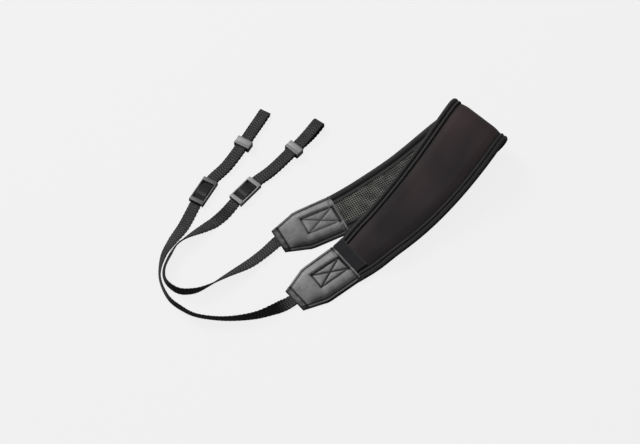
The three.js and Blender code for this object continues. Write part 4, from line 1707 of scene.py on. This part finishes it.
@dataclass
class StrapEnd:
    """One end of the strap: its patch, its webbing, its adjuster and its keeper."""

    name: str
    pad: FoldedPad
    end: int
    webbing_offset: float
    roll: float
    route_rows: tuple[tuple[float, ...], ...]
    lead: StrapLead
    sewing: Sewing
    plastic: Finish
    fitting: Fitting = field(default_factory=Fitting)
    mouth: float = 54.5
    depth: float = 12.0
    rib: float = 2.35
    yarns: int = 3
    hump: float = field(init=False, default=0.0)

    def build(self) -> None:
        """Makes the end of the strap."""
        name = f"end_patch_{self.name}"
        EndPatch(name, self.patch_pose(), self.sewing).build()
        self.build_webbing()
        self.build_adjuster()
        self.build_keeper()

    def patch_pose(self) -> FlatPose:
        """Where the patch starts, and which way it runs."""
        along = self.pad.front_length if self.end > 0 else -self.pad.back_length
        middle = -self.pad.sway_at(along)
        ends = np.array([(along, middle, 0), (along + self.end, middle, 0)])
        start, ahead = self.pad.place(ends)[:, :2]
        return FlatPose(start[0], start[1], math.atan2(ahead[1] - start[1], ahead[0] - start[0]))

    def webbing_route(self) -> StrapRoute:
        """The whole route of the webbing, from inside the patch to its tail in the adjuster."""
        pose = self.patch_pose()
        rows: list[tuple[float, ...]] = []
        for distance in (self.mouth - self.depth, self.mouth - 1, self.mouth + 1):
            x, y, _ = pose.place(np.array([(distance, -self.webbing_offset, 0)]))[0]
            rows.append((x, y, self.roll, 1.3))
        rows.extend((*row, 0.0)[:4] for row in self.route_rows)
        start = self.lead.line[0]
        rows.append((start[0], start[1], 0.0, 0.4))
        middle = smooth_line([row[:2] for row in rows], 14, 0.0)
        turn = smooth_line([row[2:] for row in rows], 14, 0.0)
        roll, lift = np.radians(turn[:, 0]), np.maximum(turn[:, 1], 0.0)
        width, thickness = self.fitting.width, self.fitting.thickness
        rest = (np.abs(np.sin(roll)) * width + np.abs(np.cos(roll)) * thickness) / 2
        ahead = np.gradient(middle, axis=0)
        ahead /= np.linalg.norm(ahead, axis=1)[:, None]
        right = np.column_stack([ahead[:, 1], -ahead[:, 0], np.zeros(len(roll))])
        up = np.array([0.0, 0.0, 1.0])
        across = right * np.cos(roll)[:, None] + up * np.sin(roll)[:, None]
        off = up * np.cos(roll)[:, None] - right * np.sin(roll)[:, None]
        line, sideways, upwards = self.lead.route()
        return StrapRoute(
            np.vstack([np.column_stack([middle, rest + lift])[:-1], line]),
            np.vstack([across[:-1], sideways]),
            np.vstack([off[:-1], upwards]),
        )

    def weave(self, along: float, share: float) -> float:
        """How high the yarns stand at a place, from -1 in a gap to 1 on a rib.

        Args:
            along: the place along the webbing.
            share: the place across it, from -1 at one edge to 1 at the other.

        Returns:
            The height.
        """
        column = math.cos(math.pi * self.yarns * share)
        turn = 2 * math.pi * along / self.rib
        wander = 0.25 * math.sin(along / 3.1) + 0.2 * math.sin(along / 1.9 + 4 * share)
        brick = column * math.cos(turn + 0.6 * math.pi * share)
        return (0.35 + 0.8 * wander) * math.sin(turn) + 0.65 * brick

    def webbing_painted_light(self, along: float, across: float, off: float) -> float:
        """The webbing's painted light: highlights on its ribs, shade in its gaps and on its edges.
        """
        share = 2 * across / self.fitting.width
        edge = soft_step(abs(share), 0.93, 1.0)
        # Painted highlight on the ribs, painted shade in the gaps.
        high = min(1.0, max(-1.0, 2.2 * self.weave(along, share)))
        # In the adjuster's window: a painted highlight on one slope of the hump, painted shade
        # round it.
        light_paint = 1 - soft_step(abs(along - self.hump), 6.5, 8.5)
        high = high * (1 - light_paint) + light_paint * (1.5 * bump(along - self.hump + 3.2, 1.8) - 0.7)
        # Painted shade on the edges.
        return (1 - edge) * high - 0.7 * edge

    def build_webbing(self) -> None:
        """The ribbed webbing, in one length."""
        route = self.webbing_route()
        near = np.hypot(*(route.middle[:, :2] - self.lead.adjuster[:2]).T) - route.middle[:, 2]
        self.hump = float(route.lengths[np.argmin(near)])
        half, face = self.fitting.width / 2, self.fitting.thickness / 2
        places = np.linspace(0, route.length, round(route.length / (self.rib / 6)))
        edge = [(-1.0, 0.0), (-0.99, 0.5), (-0.95, 0.85)]
        flat = [(step / 8, 1.0) for step in range(-7, 8)]
        upper = edge + flat + [(-across, off) for across, off in reversed(edge)]
        shape = bmesh.new()
        count = len(upper) - 1
        for side in (1, -1):

            def settle(along: float, share: float, side: int = side) -> tuple[float, float, float]:
                """Gives a point of one face of the webbing its flat place."""
                across, off = upper[round(share * count)]
                wave = math.sin(2 * math.pi * along / (1.5 * self.rib) + math.sin(along / 4))
                scallop = 1.005 + (0.045 if across > 0 else 0.018) * wave
                reach = half * across * (scallop if abs(across) > 0.9 else 0.985)
                return along, reach, side * face * off * (0.86 + 0.2 * self.weave(along, across))

            spread(shape, places, count, settle)
        bmesh.ops.remove_doubles(shape, verts=shape.verts, dist=0.001)
        rims = [item for item in shape.edges if item.is_boundary]
        bmesh.ops.holes_fill(shape, edges=rims, sides=0)
        nodes = [f"webbing_{self.name}", f"lug_loop_{self.name}"]
        name = f"webbing_strap_{self.name}"
        webbing = lay_piece(name, shape, route, Finish.WEBBING, nodes, 70, self.webbing_painted_light)

    def build_adjuster(self) -> None:
        """The three-bar adjuster, with grooved end bars."""
        fit = self.fitting
        half, side = fit.adjuster_length / 2, fit.adjuster_width / 2
        shape = bmesh.new()
        for face in (1, -1):
            low, high = sorted((face * side, face * (side - fit.rail)))
            add_block(shape, (-half, low, fit.gap), (half, high, fit.adjuster_top - 0.25), 0.4)
            near, far = sorted((face * half, face * (half - fit.end_bar)))
            low_corner = (near, -side + 0.2, fit.end_bar_bottom)
            add_block(shape, low_corner, (far, side - 0.2, fit.adjuster_top), 0.6)
            for share in (0.36, 0.66):
                middle = near + (far - near) * share
                ridge_low = (middle - 0.22, -side + 1.6, fit.adjuster_top - 0.1)
                ridge_high = (middle + 0.22, side - 1.6, fit.adjuster_top + 0.12)
                add_block(shape, ridge_low, ridge_high, 0.1, 1)
        bar = fit.middle_bar / 2
        low_corner = (-bar, -side + 0.6, fit.middle_bar_top - 1.2)
        add_block(shape, low_corner, (bar, side - 0.6, fit.middle_bar_top), 0.35)
        pose = self.lead.pose(fit.reach)
        node = f"adjuster_{self.name}"

        def painted_light(along: float, across: float, up: float) -> float:
            """Painted shade on the rails and low on the bars, with a painted highlight along each
            bar's top.
            """
            # In the window: painted shade on the right rail and low down.
            if abs(along) < half - fit.end_bar - 0.1:
                return -0.75 if across > 0 or up < fit.adjuster_top - 0.9 else 0.1
            # On the end bars: a painted highlight along each bar's top, painted shade low down.
            low = 1 - soft_step(up, fit.adjuster_top - 1.3, fit.adjuster_top - 0.3)
            return 0.4 * bump(abs(along) - half + fit.end_bar / 2, 0.5) - 0.8 * low

        lay_piece(f"{node}_frame", shape, pose, self.plastic, [node], 35, painted_light)

    def build_keeper(self) -> None:
        """The keeper: a rounded plastic loop, a little waisted along its middle."""
        fit = self.fitting
        half, side, wall = fit.keeper_length / 2, fit.keeper_width / 2, fit.keeper_wall
        shape = bmesh.new()
        verts = bmesh.ops.create_cube(shape, size=1.0)["verts"]
        bmesh.ops.scale(shape, vec=(2 * half, 2 * side, fit.keeper_height), verts=verts)
        bmesh.ops.translate(shape, vec=(0, 0, fit.keeper_height / 2), verts=verts)
        ends = [face for face in shape.faces if abs(face.normal.x) > 0.9]
        bmesh.ops.inset_individual(shape, faces=ends, thickness=wall, depth=0.0)
        loops = [edge for face in ends for edge in face.edges]
        bmesh.ops.delete(shape, geom=ends, context="FACES_ONLY")
        bmesh.ops.bridge_loops(shape, edges=loops)
        round_edges(shape, shape.edges[:], fit.keeper_rounding, clamp=True)
        for cut in (-3.0, -2.2, -1.4, -0.6, 0.2, 1.0, 1.8, 2.6):
            bmesh.ops.bisect_plane(
                shape, geom=[*shape.verts, *shape.edges, *shape.faces],
                plane_co=(cut, 0, 0), plane_no=(1, 0, 0), dist=0.0001,
            )
        pose = self.lead.pose(self.lead.keeper_at)
        node = f"keeper_{self.name}"
        for vert in shape.verts:
            if vert.co.z > fit.keeper_height - 0.6:
                vert.co.z -= 0.3 * bump(vert.co.x + 1.4, 1.0)

        def painted_light(along: float, across: float, up: float) -> float:
            """Painted highlight along the middle; painted shade in the waist, at the rims and low
            down.
            """
            # Painted highlight along the middle, painted shade in the waist, at the rims and low
            # down.
            low = 0.7 * (1 - soft_step(up, 0.3, fit.keeper_height * 0.7))
            rims = 0.3 * soft_step(abs(along), 2.6, 3.6) + 0.3 * bump(along + 1.6, 0.6)
            return 0.5 * bump(along - 0.6, 1.2) - 1.3 * rims - low

        lay_piece(f"{node}_loop", shape, pose, Finish.PALE_PLASTIC, [node], 35, painted_light)


# ------------------------------------------------------------------ table, light and camera


@dataclass
class Studio:
    """The table, the soft lights and the camera."""

    view_point: tuple[float, float, float] = (-0.0127, -0.0085, 0.0)
    elevation: float = math.radians(60)
    distance: float = 1.5
    lens: float = 101.25
    table_reach: float = 6.0
    sky: float = 0.10

    def build(self) -> None:
        """Sets the scene."""
        self.build_table()
        self.build_lights()
        self.build_camera()
        bpy.context.scene.view_settings.view_transform = "Standard"

    def build_table(self) -> None:
        """A wide pale table top."""
        shape = bmesh.new()
        bmesh.ops.create_grid(shape, x_segments=2, y_segments=2, size=self.table_reach)
        table = in_scene("table", as_mesh("table", shape))
        table.data.materials.append(TableTop().material())
        table.visible_diffuse = table.visible_glossy = False
        table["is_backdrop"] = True

    def build_lights(self) -> None:
        """A dim sky, a strong soft light at the back left and a weaker one overhead."""
        world = bpy.data.worlds.new("studio")
        world.use_nodes = True
        background = world.node_tree.nodes["Background"]
        background.inputs["Color"].default_value = (1.0, 1.0, 1.0, 1.0)
        background.inputs["Strength"].default_value = self.sky
        bpy.context.scene.world = world
        self.add_light("key", (-1.2, 1.2, 1.5), 1.1, 50)
        self.add_light("overhead", (-0.3, 0.1, 1.9), 1.4, 9)

    def add_light(
        self, name: str, spot: tuple[float, float, float], size: float, power: float
    ) -> None:
        """Adds a square light that faces the strap.

        Args:
            name: its name.
            spot: its place, in metres.
            size: the length of its sides, in metres.
            power: its power, in watts.
        """
        light = bpy.data.lights.new(name, "AREA")
        light.size = size
        light.energy = power
        holder = in_scene(name, light)
        holder.location = spot
        holder.rotation_euler = (-Vector(spot)).to_track_quat("-Z", "Y").to_euler()

    def build_camera(self) -> None:
        """The camera, looking down at the strap from the front."""
        camera = bpy.data.cameras.new("camera")
        camera.lens = self.lens
        camera.sensor_width = 36.0
        holder = in_scene("camera", camera)
        away = Vector((0, -math.cos(self.elevation), math.sin(self.elevation))) * self.distance
        holder.location = Vector(self.view_point) + away
        holder.rotation_euler = (math.pi / 2 - self.elevation, 0, 0)
        bpy.context.scene.camera = holder


# ------------------------------------------------------------------ assembly

FRONT_ROUTE = (
    (-40.1, -86.8, 12, 0.8), (-49.3, -92.3, 54), (-65.6, -98.5, 82), (-88.6, -101.2, 98),
    (-110.6, -98.7, 101), (-124, -92.2, 94), (-135.8, -81.8, 90), (-143.3, -63.6, 83),
    (-141.3, -43.6, 53), (-134.9, -29, 27), (-126.1, -13.2, 2),
)
BACK_ROUTE = (
    (-58.6, -38.9, 168), (-71, -49.6, 161), (-88, -61, 132), (-103.4, -71, 110),
    (-114.8, -75.9, 94), (-127.6, -75.8, 88), (-137.8, -67.6, 88), (-140.2, -56.4, 74),
    (-136.3, -43.6, 65), (-130.7, -32.8, 68), (-123.1, -26, 57), (-107.2, -14.6, 14),
    (-93.6, -3.4, -14),
)


def main() -> None:
    """Makes the strap and its studio."""
    logging.basicConfig(level=logging.INFO, format="%(name)s: %(message)s")
    Studio().build()
    neck = NeckPiece()
    neck.build()
    front_lead = StrapLead(
        (-110.6, 19.4, 61), (-92.1, 44.3), (-78, 66.4), (-69, 83), (-59.8, 99.8), 4.2
    )
    back_lead = StrapLead(
        (-75.4, 19.6, 49), (-54, 40.2), (-34.8, 61), (-22.8, 74.8), (-13, 88.4), 7.0
    )
    grey, pale = Finish.GREY_PLASTIC, Finish.PALE_PLASTIC
    front_box = ((3.2, -7.4), (30.5, -8.5), (31.0, 5.2), (2.6, 5.6))
    back_box = ((3.2, -8.2), (30.2, -9.2), (30.4, 5.8), (2.4, 7.0))
    front_sewing = Sewing(front_box, depth=1.0, slump=1.4, tone=0.12, drawn=0.0, skew=0.03)
    back_sewing = Sewing(back_box, depth=0.5, slump=2.2, tone=-0.08, drawn=1.8, skew=0.07)
    front_route, back_route = (0.6, 0.0, FRONT_ROUTE), (0.0, 180.0, BACK_ROUTE)
    StrapEnd("front", neck.lay, 1, *front_route, front_lead, front_sewing, grey).build()
    StrapEnd("back", neck.lay, -1, *back_route, back_lead, back_sewing, pale).build()
    boxes = {"cad": CAD_BOX, "visual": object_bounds()}
    {key: [list(corner) for corner in box] for key, box in boxes.items()}
    LOG.info("sizes written")


if __name__ == "__main__":
    main()
